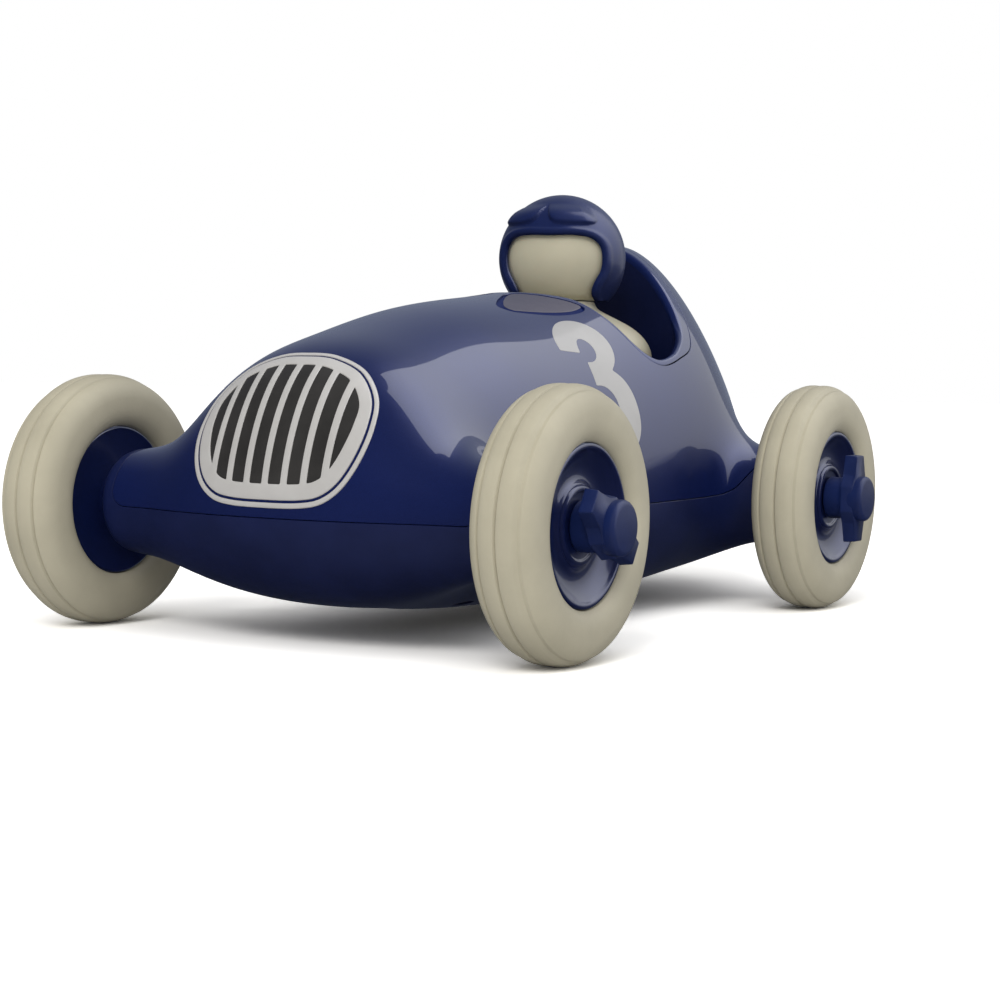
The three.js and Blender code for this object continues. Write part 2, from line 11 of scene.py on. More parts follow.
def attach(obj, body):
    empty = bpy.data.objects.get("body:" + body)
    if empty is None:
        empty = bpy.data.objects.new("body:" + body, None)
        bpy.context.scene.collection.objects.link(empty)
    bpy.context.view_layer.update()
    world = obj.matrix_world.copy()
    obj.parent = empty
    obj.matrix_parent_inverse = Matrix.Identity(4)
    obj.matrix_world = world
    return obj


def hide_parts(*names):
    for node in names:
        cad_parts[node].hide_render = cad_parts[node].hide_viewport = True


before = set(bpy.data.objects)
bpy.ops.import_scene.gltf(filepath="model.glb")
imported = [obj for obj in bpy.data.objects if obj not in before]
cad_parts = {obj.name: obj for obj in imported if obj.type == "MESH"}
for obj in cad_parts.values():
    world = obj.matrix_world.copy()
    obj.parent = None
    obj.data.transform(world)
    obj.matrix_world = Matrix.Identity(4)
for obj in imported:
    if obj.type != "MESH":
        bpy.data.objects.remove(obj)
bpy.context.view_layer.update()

MM = 0.001

# ---- driving dimensions, as in the CAD model
TYRE_R = 35.0
TYRE_HALF_WIDTH = 9.24
TYRE_MIDDLE_R = 26.0
TYRE_ROUNDNESS = 2.55
# tread grooves: place across the tyre outwards from its middle, depth, half width
GROOVES = [(-4.7, 0.6, 0.45), (0.4, 0.6, 0.45), (5.7, 0.42, 0.9)]
GROOVE_EASE = 1.1                  # the tread dips gently on either side of a groove
GROOVE_DIP = 0.22
HUB_R = 20.4
FRONT_AXLE_X = 100.15
REAR_AXLE_X = -66.15
AXLE_X = {"front": FRONT_AXLE_X, "rear": REAR_AXLE_X}
AXLE_Z = TYRE_R
HALF_TRACK = 73.7
AXLE_R = 2.5
BORE_R = 2.8
BUSH_R = 5.0
HUB_IN = -6.2
HUB_BARREL_IN = -6.5
BUSH_IN, BUSH_OUT = 59.5, 65.8
WASHER_IN, WASHER_OUT = 66.1, 66.9
HUB_FLOOR = 4.6
EAR_IN = 10.8
EAR_OUT = 14.6
EAR_LENGTH = 13.5
SPINNER_OUT = 17.8
AXLE_OUT = 12.0
SPINNER_ANGLE = {"front": 58.0, "rear": 0.0}

NOSE_X, TAIL_X = 122.4, -135.15
NOSE_ROUND_X, TAIL_ROUND_X = 81.4, -52.0
NOSE_POWER, TAIL_POWER, KEEL_POWER = 3.9, 2.1, 2.3
SEAM_Z = 34.3
BELLY_Z = 6.0
ARM_R = 14.5
ARM_END_Y = 65.4
ARM_END_POWER = 40
ARM_SHELL_Y = 58.3
FRONT_BLEND, REAR_BLEND = 17.4, 15.2
# x, crown height, half width, keel height, exponent across, exponent upwards
LINES = np.array([
    [-148, 126, 45.5, 12, 2.0, 1.8],
    [-103, 122, 46.5, 9.5, 1.6, 1.45],
    [-78, 119, 48, 8, 1.5, 1.55],
    [-43, 107, 49, 5, 2.25, 1.95],
    [7, 96, 48, 5, 2.2, 2.0],
    [57, 90, 46.5, 5.5, 2.1, 2.05],
    [92, 81.5, 43.5, 10, 2.25, 2.0],
    [127, 74.5, 42, 19, 2.3, 2.15],
])
# cockpit surround seen from above, front to back: x, y, width of the band
COCKPIT = [
    [3.5, 0, 2.2], [0.5, 9, 2.2], [-5.5, 18, 2.2], [-8.5, 27.5, 2.2], [-13, 36, 2.4], [-22, 40, 2.6],
    [-36, 40, 3.5], [-49, 37.5, 5.5], [-57.5, 29, 6], [-65, 14, 5], [-67.5, 0, 4.5],
]
TUB_FLOOR_Z = 48.0
# grille outline seen from the front, bottom to top: y, z
GRILLE = [
    [0, 36.9], [11, 37.2], [17.6, 38.7], [22.8, 42.9], [26.2, 49.8], [27.1, 57.6], [25, 65.2], [18.4, 72.1],
    [9, 75.8], [0, 76.5],
]
GRILLE_SLOTS = 8
GRILLE_SLOT_PITCH = 5.8
GRILLE_SLOT_WIDTH = 3.8
GRILLE_RING = 1.4
GRILLE_LINE = 0.65
GRILLE_FIELD = 4.1
GRILLE_BACK_X = 96.0
# windscreen lens seen from above: x, y, and the point facing it on the lens's inner edge
SCREEN = [
    [[3.7, 4.6], [5.6, 5.7]], [[6.4, 2.2], [8.0, 4.8]], [[10.8, 3.1], [11.4, 5.6]],
    [[17.7, 6.1], [17.4, 8.0]], [[25.7, 9.8], [24.3, 11.4]], [[31.6, 13.6], [29.0, 14.6]],
    [[30.9, 17.0], [28.9, 16.9]], [[27.3, 18.9], [26.0, 18.1]], [[15.5, 21.8], [14.8, 20.5]],
    [[4, 23.4], [4.1, 22.1]], [[-3.3, 23.4], [-2.6, 22.1]], [[-5.8, 21.9], [-4.5, 21.1]],
    [[-4.3, 18], [-2.9, 18.1]], [[-1.3, 13.7], [0.2, 14.0]], [[1.5, 9], [3.1, 9.4]],
]
SCREW_PLACES = {
    "front_left": (62, 22), "front_right": (62, -22), "rear_left": (-98, 18), "rear_right": (-98, -18),
}
SCREW_HOLE_R = 3.3
SCREW_HEAD_Z = 12.8

DRIVER_X = -32.0
HELMET_R = 20.0
HELMET_Z = 108.5
HELMET_INSIDE_R = 18.2
HEAD_R = 17.5
HEAD_YAW = math.radians(15)
NECK_Z = 95.0


# ---- curves
def spline(xs, ys):
    """Natural cubic spline, held level past its ends."""
    xs, ys = np.asarray(xs, float), np.asarray(ys, float)
    n = len(xs)
    h = np.diff(xs)
    system = np.eye(n)
    right = np.zeros(n)
    for i in range(1, n - 1):
        system[i, i - 1:i + 2] = [h[i - 1], 2 * (h[i - 1] + h[i]), h[i]]
        right[i] = 6 * ((ys[i + 1] - ys[i]) / h[i] - (ys[i] - ys[i - 1]) / h[i - 1])
    curve = np.linalg.solve(system, right)

    def at(x):
        x = np.clip(x, xs[0], xs[-1])
        i = np.clip(np.searchsorted(xs, x) - 1, 0, n - 2)
        p, q, s = xs[i + 1] - x, x - xs[i], h[i]
        return ((curve[i] * p ** 3 + curve[i + 1] * q ** 3) / (6 * s)
                + (ys[i] / s - curve[i] * s / 6) * p + (ys[i + 1] / s - curve[i + 1] * s / 6) * q)
    return at


def curve_through(points, count, endpoint=True):
    """Even steps along a smooth open curve through points of the plane."""
    points = np.asarray(points, float)
    run = np.concatenate([[0], np.cumsum(np.linalg.norm(np.diff(points, axis=0), axis=1))])
    at = np.linspace(0, run[-1], count, endpoint=endpoint)
    return np.column_stack([spline(run, points[:, 0])(at), spline(run, points[:, 1])(at)])


def rounded(points, per_span=12):
    """Catmull-Rom closed curve through the points (any number of columns)."""
    p = np.asarray(points, float)
    t = np.linspace(0, 1, per_span, endpoint=False)[:, None]
    out = []
    for i in range(len(p)):
        a, b, c, d = p[i - 1], p[i], p[(i + 1) % len(p)], p[(i + 2) % len(p)]
        out.append(b + 0.5 * t * (c - a + t * (2 * a - 5 * b + 4 * c - d + t * (3 * (b - c) + d - a))))
    return np.concatenate(out)


def evenly(loop, spacing):
    """Closed loop resampled at an even spacing."""
    closed = np.vstack([loop, loop[:1]])
    run = np.concatenate([[0], np.cumsum(np.linalg.norm(np.diff(closed[:, :2], axis=0), axis=1))])
    count = max(int(run[-1] / spacing), 8)
    at = np.linspace(0, run[-1], count, endpoint=False)
    return np.stack([np.interp(at, run, closed[:, k]) for k in range(loop.shape[1])], 1)


def inward(loop):
    """Unit normals of a closed loop in its plane, pointing into it."""
    ahead, behind = np.roll(loop, -1, 0), np.roll(loop, 1, 0)
    area = np.sum(loop[:, 0] * ahead[:, 1] - ahead[:, 0] * loop[:, 1])
    along = (ahead - behind)[:, :2]
    along = along / np.linalg.norm(along, axis=1)[:, None]
    return np.stack([-along[:, 1], along[:, 0]], 1) * np.sign(area)


def inset(loop, distance):
    return loop[:, :2] + inward(loop) * np.reshape(distance, (-1, 1))


def loop_distance(points, loop):
    """Signed distance in the plane to a closed loop: positive inside."""
    best = np.full(len(points), 1e9)
    inside = np.zeros(len(points), bool)
    x, y = points[:, 0], points[:, 1]
    for (ax, ay), (bx, by) in zip(loop, np.roll(loop, -1, 0)):
        dx, dy = bx - ax, by - ay
        t = np.clip(((x - ax) * dx + (y - ay) * dy) / (dx * dx + dy * dy), 0, 1)
        best = np.minimum(best, (x - ax - t * dx) ** 2 + (y - ay - t * dy) ** 2)
        if ay != by:
            inside ^= ((ay > y) != (by > y)) & (x < ax + (y - ay) * dx / dy)
    return np.sqrt(best) * np.where(inside, 1, -1)


# ---- body surface
crown_z, half_width, keel_z, across_power, up_power = (spline(LINES[:, 0], LINES[:, k]) for k in range(1, 6))


def hull(p):
    """Hull without its arms: below zero inside."""
    x, y, z = p[:, 0], p[:, 1], p[:, 2]
    up = z >= SEAM_Z
    height = np.where(up, crown_z(x) - SEAM_Z, SEAM_Z - keel_z(x))
    power = np.where(up, up_power(x), KEEL_POWER)
    nose = np.maximum((x - NOSE_ROUND_X) / (NOSE_X - NOSE_ROUND_X), 0)
    tail = np.maximum((TAIL_ROUND_X - x) / (TAIL_ROUND_X - TAIL_X), 0)
    return ((np.abs(y) / half_width(x)) ** across_power(x) + (np.abs(z - SEAM_Z) / height) ** power
            + nose ** NOSE_POWER + tail ** TAIL_POWER - 1)


def arms(axle_x):
    """One pair of axle arms: below zero inside."""
    return lambda p: (((p[:, 0] - axle_x) ** 2 + (p[:, 2] - AXLE_Z) ** 2) / ARM_R ** 2
                      + (np.abs(p[:, 1]) / ARM_END_Y) ** ARM_END_POWER - 1)


def slope(field, p, e=0.05):
    return np.stack([(field(p + e * axis) - field(p - e * axis)) / (2 * e) for axis in np.eye(3)], 1)


def distance(field, p):
    """A field divided by its own slope, which is close to a distance."""
    steep = np.maximum(np.linalg.norm(slope(field, p), axis=1), 1e-3)
    return np.clip(field(p) / steep, -40, 200)


def joined(a, b, width):
    """Joins two distances with a fillet."""
    t = np.clip(0.5 + 0.5 * (b - a) / width, 0, 1)
    return b * (1 - t) + a * t - width * t * (1 - t)


def body(p):
    """Whole body: below zero inside, about a distance near the surface."""
    front = joined(distance(hull, p), distance(arms(FRONT_AXLE_X), p), FRONT_BLEND)
    return joined(front, distance(arms(REAR_AXLE_X), p), REAR_BLEND)


def body_normal(p):
    n = slope(body, p, 0.12)
    return n / np.maximum(np.linalg.norm(n, axis=1)[:, None], 1e-6)


def onto_body(p, rounds=3):
    for _ in range(rounds):
        n = slope(body, p, 0.12)
        p = p - n * (body(p) / np.maximum((n * n).sum(1), 1e-4))[:, None]
    return p


def reach(start, way, near, far, rounds=20):
    """How far rays run inside the body, halved down between two guesses."""
    for _ in range(rounds):
        middle = (near + far) / 2
        inside = body(start + way * middle[:, None]) < 0
        near, far = np.where(inside, middle, near), np.where(inside, far, middle)
    return near


def march(start, way, limit):
    """Where rays from inside the body leave it."""
    return start + way * reach(start, way, np.zeros(len(start)), np.full(len(start), float(limit)))[:, None]


def on_top(xy):
    """Points on the body straight above places in plan."""
    start = np.column_stack([xy, np.full(len(xy), SEAM_Z)])
    return march(start, np.array([[0, 0, 1.0]]), 100)


def on_nose(yz):
    """Points on the body straight ahead of places seen from the front."""
    start = np.column_stack([np.full(len(yz), GRILLE_BACK_X), yz])
    return march(start, np.array([[1.0, 0, 0]]), 40)


FLANK_X = np.arange(-10.0, 40.1, 1.0)
FLANK_Z = np.arange(40.0, 93.0, 0.5)


def flank_table():
    """Height on the left flank against the length run over the surface upwards, along x."""
    x, z = np.meshgrid(FLANK_X, FLANK_Z, indexing="ij")
    start = np.column_stack([x.ravel(), np.zeros(x.size), z.ravel()])
    y = march(start, np.array([[0, 1.0, 0]]), 60)[:, 1].reshape(x.shape)
    run = np.hypot(np.diff(y, axis=1), np.diff(z, axis=1))
    return y, np.concatenate([np.zeros((len(FLANK_X), 1)), np.cumsum(run, axis=1)], 1)


FLANK_Y, FLANK_RUN = flank_table()


def on_flank(side):
    """Points on one flank from x and the length run up over it from the seam side."""
    def lift(uv):
        i = np.clip(((uv[:, 0] - FLANK_X[0]) / 1.0).astype(int), 0, len(FLANK_X) - 2)
        share = uv[:, 0] - FLANK_X[i]
        out = []
        for k, u, v, s in zip(i, uv[:, 0], uv[:, 1], share):
            low = [np.interp(v, FLANK_RUN[k], FLANK_Y[k]), np.interp(v, FLANK_RUN[k], FLANK_Z)]
            high = [np.interp(v, FLANK_RUN[k + 1], FLANK_Y[k + 1]), np.interp(v, FLANK_RUN[k + 1], FLANK_Z)]
            y, z = [a * (1 - s) + b * s for a, b in zip(low, high)]
            out.append([u, side * y, z])
        return onto_body(np.array(out), 2)
    return lift


# ---- meshes
COLLECTION = bpy.context.scene.collection


def linked(name, data):
    thing = bpy.data.objects.new(name, data)
    COLLECTION.objects.link(thing)
    return thing


def grid_faces(rows, count, closed=True):
    """Quads between neighbouring rows of points."""
    return [(low + k, low + (k + 1) % count, low + count + (k + 1) % count, low + count + k)
            for low in range(0, (rows - 1) * count, count) for k in range(count if closed else count - 1)]


def make(name, verts, faces, look, normals=None):
    mesh = bpy.data.meshes.new(name)
    corners = [tuple(int(i) for i in face) for face in faces]
    mesh.from_pydata([tuple(v) for v in np.asarray(verts) * MM], [], corners)
    mesh.validate()
    mesh.update()
    mesh.polygons.foreach_set("use_smooth", [True] * len(mesh.polygons))
    if normals is not None:
        mesh.normals_split_custom_set_from_vertices([tuple(n) for n in np.asarray(normals)])
    mesh.materials.append(look)
    return linked(name, mesh)


def stand(piece, ride_on, slot, *nodes):
    """Declares what a piece rides on and the CAD nodes it stands for; its finish slot is not used."""
    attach(piece, ride_on)
    if nodes:
        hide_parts(*nodes)
    return piece


class Skin:
    """A mesh in the making: vertices, their normals, faces."""

    def __init__(self, verts, faces, normals):
        self.verts, self.faces, self.normals = list(verts), list(faces), list(normals)

    def clip(self, field, project):
        """Keeps the part where field(points) is above zero and returns the new border's edges."""
        value = list(field(np.array(self.verts)))
        first_new = len(self.verts)
        cut, faces, border = {}, [], []

        def crossing(a, b):
            key = (min(a, b), max(a, b))
            if key not in cut:
                t = value[a] / (value[a] - value[b])
                cut[key] = len(self.verts)
                self.verts.append(self.verts[a] * (1 - t) + self.verts[b] * t)
                self.normals.append(self.normals[a] * (1 - t) + self.normals[b] * t)
            return cut[key]

        for face in self.faces:
            kept = [value[v] > 0 for v in face]
            if all(kept):
                faces.append(face)
            elif any(kept):
                loop = []
                for k, a in enumerate(face):
                    b = face[(k + 1) % len(face)]
                    if value[a] > 0:
                        loop.append(a)
                    if (value[a] > 0) != (value[b] > 0):
                        loop.append(crossing(a, b))
                faces.append(tuple(loop))
                for k, a in enumerate(loop):
                    b = loop[(k + 1) % len(loop)]
                    if a >= first_new and b >= first_new:
                        border.append((a, b))
        if len(self.verts) > first_new:
            fresh = project(np.array(self.verts[first_new:]))
            self.verts[first_new:] = list(fresh)
            self.normals[first_new:] = list(body_normal(fresh)) if project is onto_body else [
                n / np.linalg.norm(n) for n in self.normals[first_new:]]
        self.faces = faces
        return border

    def lip(self, border, field, profile, inwards=None):
        """Turns a border in: each row of the profile is how far across, how deep, and the tilt in degrees."""
        ends = sorted({v for edge in border for v in edge})
        p = np.array([self.verts[v] for v in ends])
        n = np.array([self.normals[v] for v in ends])
        off = -slope(field, p, 0.05)
        off -= n * (off * n).sum(1)[:, None]
        off /= np.maximum(np.linalg.norm(off, axis=1)[:, None], 1e-6)
        down = -n if inwards is None else np.tile(np.array(inwards, float), (len(ends), 1))
        rows = [dict(zip(ends, ends))]
        for across, deep, tilt in profile:
            start = len(self.verts)
            self.verts += list(p + off * across + down * deep)
            c, s = math.cos(math.radians(tilt)), math.sin(math.radians(tilt))
            self.normals += list(n * c + off * s)
            rows.append({v: start + k for k, v in enumerate(ends)})
            before, after = rows[-2], rows[-1]
            self.faces += [(before[b], before[a], after[a], after[b]) for a, b in border]

    def cut(self, field, profile, project=None, inwards=None):
        self.lip(self.clip(field, project or onto_body), field, profile, inwards)

    def made(self, name, look, shaded=True):
        used = sorted({v for face in self.faces for v in face})
        place = {v: k for k, v in enumerate(used)}
        faces = [tuple(place[v] for v in face) for face in self.faces]
        normals = [self.normals[v] for v in used] if shaded else None
        return make(name, [self.verts[v] for v in used], faces, look, normals)


def patch(name, rings, holes, heights, tilts, lift, look, spacing=1.2):
    """A thin shaped sheet lying on the body. Each outline is a list of loops from its edge inwards;
    each loop of a list has its height over the body and its tilt off the body's normal, in degrees."""
    flat, lifted, tilt, faces = [], [], [], []
    borders = []
    for loops, inside in [(rings, 1)] + [(hole, -1) for hole in holes]:
        start = len(flat)
        count = len(loops[0])
        for loop, h, t in zip(loops, heights, tilts):
            flat += list(loop)
            lifted += [h] * count
            tilt += [(t, d) for d in -inside * inward(loop)]
        faces += [tuple(start + v for v in quad) for quad in grid_faces(len(loops), count)]
        borders.append(range(start + (len(loops) - 1) * count, start + len(loops) * count))
    last = [np.array([flat[v] for v in border]) for border in borders]
    low, high = last[0].min(0), last[0].max(0)
    rows = np.arange(low[1] + spacing / 3, high[1], spacing * 0.866)
    grid = np.array([[u + (spacing / 2 if k % 2 else 0), v] for k, v in enumerate(rows)
                     for u in np.arange(low[0] + spacing / 3, high[0], spacing)])
    clear = loop_distance(grid, last[0]) > 0.45 * spacing
    for hole in last[1:]:
        clear &= loop_distance(grid, hole) < -0.45 * spacing
    known = [v for border in borders for v in border]
    for place in grid[clear]:
        known.append(len(flat))
        flat.append(place)
        lifted.append(heights[-1])
        tilt.append((0.0, np.zeros(2)))
    local = {v: k for k, v in enumerate(known)}
    edges = [(local[b[k]], local[b[(k + 1) % len(b)]]) for b in borders for k in range(len(b))]
    result = delaunay_2d_cdt([Vector(flat[v]) for v in known], edges, [], 0, 1e-6)
    triangles = np.array(result[2])
    origin = [ids[0] for ids in result[3]]
    middle = np.array([np.mean([result[0][v] for v in t], axis=0) for t in triangles])
    kept = loop_distance(middle, last[0]) > 0
    for hole in last[1:]:
        kept &= loop_distance(middle, hole) < 0
    faces += [tuple(known[origin[v]] for v in t) for t in triangles[kept]]
    flat = np.array(flat)
    base = lift(flat)
    n = body_normal(base)
    angle = np.radians([t for t, _ in tilt])
    off = lift(flat + 0.02 * np.array([d for _, d in tilt])) - base
    off /= np.maximum(np.linalg.norm(off, axis=1)[:, None], 1e-9)
    normals = n * np.cos(angle)[:, None] + off * np.sin(angle)[:, None]
    verts = base + n * np.array(lifted)[:, None]
    a, b, c = (verts[list(t)] for t in zip(*[f[:3] for f in faces]))
    outward = normals[[f[0] for f in faces]] + normals[[f[2] for f in faces]]
    facing = (np.cross(b - a, c - a) * outward).sum(1)
    faces = [f if ahead > 0 else f[::-1] for f, ahead in zip(faces, facing)]
    return make(name, verts, faces, look, normals)


def insets(loop, distances):
    return [inset(loop, d) for d in distances]


def lathe(name, profile, look, segments=96, axis="Y", centre=(0, 0, 0), smooth_angle=40):
    """Turns a closed loop of [radius, height] points about an axis; sharp where it turns hard."""
    verts, faces = [], []
    count = len(profile)
    for s in range(segments):
        c, d = math.cos(2 * math.pi * s / segments), math.sin(2 * math.pi * s / segments)
        for r, h in profile:
            verts.append((r * c, h, -r * d) if axis == "Y" else (r * c, r * d, h))
    for s in range(segments):
        t = (s + 1) % segments
        for k in range(count):
            m = (k + 1) % count
            if profile[k][0] >= 1e-6 or profile[m][0] >= 1e-6:
                faces.append([s * count + k, s * count + m, t * count + m, t * count + k])
    piece = make(name, np.array(verts) + np.array(centre), faces, look)
    finish_solid(piece, smooth_angle)
    return piece


def finish_solid(piece, smooth_angle=40):
    """Welds, turns the faces outwards and marks hard edges."""
    work = bmesh.new()
    work.from_mesh(piece.data)
    bmesh.ops.remove_doubles(work, verts=work.verts, dist=1e-6)
    bmesh.ops.recalc_face_normals(work, faces=work.faces)
    for edge in work.edges:
        edge.smooth = not edge.is_manifold or edge.calc_face_angle(0) < math.radians(smooth_angle)
    work.to_mesh(piece.data)
    work.free()


def softened(points, radius, steps=3):
    """A loop with its corners rounded off."""
    p = np.asarray(points, float)
    out = []
    for i in range(len(p)):
        a, b, c = p[i - 1], p[i], p[(i + 1) % len(p)]
        u, v = a - b, c - b
        lu, lv = np.linalg.norm(u), np.linalg.norm(v)
        if lu < 1e-6 or lv < 1e-6 or b[0] < 1e-6:
            out.append(b)
            continue
        cut = min(radius, lu * 0.45, lv * 0.45)
        start, end = b + u / lu * cut, b + v / lv * cut
        for t in np.linspace(0, 1, steps + 1):
            out.append(start * (1 - t) ** 2 + 2 * b * t * (1 - t) + end * t * t)
    return np.array(out)


def tube(inner, outer, start, end, radius):
    return softened([[inner, start], [outer, start], [outer, end], [inner, end]], radius)


# ---- materials
def shader(name, **values):
    look = bpy.data.materials.new(name)
    look.use_nodes = True
    bsdf = look.node_tree.nodes["Principled BSDF"]
    for key, value in values.items():
        bsdf.inputs[key.replace("_", " ")].default_value = value
    return look, look.node_tree, bsdf


def add(tree, kind, **values):
    node = tree.nodes.new("ShaderNode" + kind)
    for key, value in values.items():
        node.inputs[key.replace("_", " ")].default_value = value
    return node


def noise(tree, scale, detail=2.0, roughness=0.5):
    """Noise laid through the object's own space, in cycles per metre."""
    place = add(tree, "TexCoord")
    node = add(tree, "TexNoise", Scale=scale, Detail=detail, Roughness=roughness)
    tree.links.new(place.outputs["Object"], node.inputs["Vector"])
    return node


def ramp(tree, factor, stops):
    """Colour that follows a value; each stop is a place and a colour."""
    node = add(tree, "ValToRGB")
    stops = [(position, rgba(*colour)) for position, colour in stops]
    steps = node.color_ramp.elements
    steps[0].position, steps[0].color = stops[0]
    steps[-1].position, steps[-1].color = stops[-1]
    for position, colour in stops[1:-1]:
        steps.new(position).color = colour
    tree.links.new(factor, node.inputs["Fac"])
    return node.outputs["Color"]


def ranged(tree, factor, low, high, start=0.0, end=1.0):
    node = add(tree, "MapRange", From_Min=start, From_Max=end, To_Min=low, To_Max=high)
    tree.links.new(factor, node.inputs["Value"])
    return node.outputs["Result"]


def bump(tree, bsdf, height, depth, strength):
    node = add(tree, "Bump", Strength=strength, Distance=depth * MM)
    tree.links.new(height, node.inputs["Height"])
    tree.links.new(node.outputs["Normal"], bsdf.inputs["Normal"])


def rgba(r, g, b):
    return (r, g, b, 1.0)


def gloss_paint(name, dark, light, rough=0.32, metal=0.55, coat_rough=0.035, coat=1.0):
    """Deep metallic paint under a clear coat: flakes, faint clouding, a trace of orange peel."""
    look, tree, bsdf = shader(name, Metallic=metal, Coat_Weight=coat, Coat_Roughness=coat_rough, Coat_IOR=1.5)
    flakes = noise(tree, 5200, 1.0)
    clouds = noise(tree, 28, 3.0)
    mixed = add(tree, "Mix", Factor=0.35)
    tree.links.new(flakes.outputs["Fac"], mixed.inputs["A"])
    tree.links.new(clouds.outputs["Fac"], mixed.inputs["B"])
    colour = ramp(tree, mixed.outputs["Result"], [(0.32, dark), (0.68, light)])
    tree.links.new(colour, bsdf.inputs["Base Color"])
    tree.links.new(ranged(tree, flakes.outputs["Fac"], rough - 0.06, rough + 0.08), bsdf.inputs["Roughness"])
    peel = noise(tree, 420, 2.0)
    bump(tree, bsdf, peel.outputs["Fac"], 0.012, 0.35)
    return look


def moulded(name, dark, light, rough, spread=0.06, grain=900, depth=0.03, strength=0.5, **more):
    """Moulded plastic or rubber: clouded colour, uneven gloss and a fine grain."""
    look, tree, bsdf = shader(name, **more)
    clouds = noise(tree, 45, 4.0, 0.6)
    colour = ramp(tree, clouds.outputs["Fac"], [(0.3, dark), (0.7, light)])
    tree.links.new(colour, bsdf.inputs["Base Color"])
    fine = noise(tree, grain, 3.0, 0.6)
    uneven = ranged(tree, fine.outputs["Fac"], rough - spread, rough + spread)
    tree.links.new(uneven, bsdf.inputs["Roughness"])
    bump(tree, bsdf, fine.outputs["Fac"], depth, strength)
    return look


PAINT = gloss_paint("gloss_blue_paint", (0.005, 0.012, 0.078), (0.009, 0.020, 0.125), 0.34, 0.32)
COLLAR = gloss_paint("collar_blue_paint", (0.006, 0.015, 0.09), (0.010, 0.024, 0.14), 0.35, 0.3, 0.1)
HELMET = gloss_paint("helmet_blue_paint", (0.006, 0.015, 0.085), (0.010, 0.024, 0.13), 0.5, 0.3, 0.2,
                     0.6)
HUB_PAINT = gloss_paint("hub_blue_paint", (0.005, 0.011, 0.065), (0.009, 0.018, 0.105), 0.34, 0.3, 0.13)
BORDER = moulded("screen_border_blue", (0.006, 0.014, 0.085), (0.010, 0.022, 0.125), 0.6, grain=1500,
                 Specular_IOR_Level=0.12)
LENS = moulded("screen_lens_lilac", (0.074, 0.070, 0.100), (0.098, 0.090, 0.120), 0.42, grain=1500)
SATIN = moulded("satin_blue_plastic", (0.0055, 0.0105, 0.057), (0.0085, 0.0155, 0.080), 0.42,
                grain=1500, depth=0.035)
NUT = moulded("nut_blue_plastic", (0.005, 0.013, 0.07), (0.009, 0.021, 0.105), 0.42, grain=1300)
TUB = moulded("tub_dark_plastic", (0.004, 0.0075, 0.040), (0.006, 0.011, 0.058), 0.5, grain=1100)
CREAM = moulded("figure_cream_plastic", (0.46, 0.432, 0.322), (0.52, 0.49, 0.372), 0.46,
                grain=1400, depth=0.02, Subsurface_Weight=0.06, Subsurface_Scale=0.002)
RUBBER = moulded("tyre_cream_rubber", (0.43, 0.40, 0.302), (0.50, 0.467, 0.355), 0.62,
                 grain=1700, depth=0.05, strength=0.6)
SILVER = moulded("grille_silver_foil", (0.60, 0.59, 0.575), (0.70, 0.69, 0.675), 0.42, 0.12,
                 grain=3000, depth=0.03, strength=0.8, Metallic=0.28)
BLACK = moulded("grille_slot_black", (0.026, 0.025, 0.024), (0.044, 0.042, 0.040), 0.42, grain=2600)
NUMERAL = moulded("numeral_white_print", (0.40, 0.395, 0.39), (0.46, 0.455, 0.45), 0.36,
                  grain=2400, depth=0.01, Coat_Weight=0.3, Coat_Roughness=0.08)
STEEL = moulded("bright_steel", (0.50, 0.51, 0.52), (0.62, 0.63, 0.64), 0.3, 0.08, grain=2200, Metallic=1.0)
NYLON = moulded("bush_nylon", (0.62, 0.62, 0.58), (0.70, 0.70, 0.66), 0.45, grain=1500,
                Subsurface_Weight=0.05, Subsurface_Scale=0.002)

# ---- the two shells
VOXEL = 1.3
RAYS = [[0, 95, 0], [0.12, 95, 40], [0.3, 95, 100], [0.58, -25, 92], [0.68, -57, 82], [0.77, -69, 96],
        [0.84, -83, 108], [1, -100, 180]]


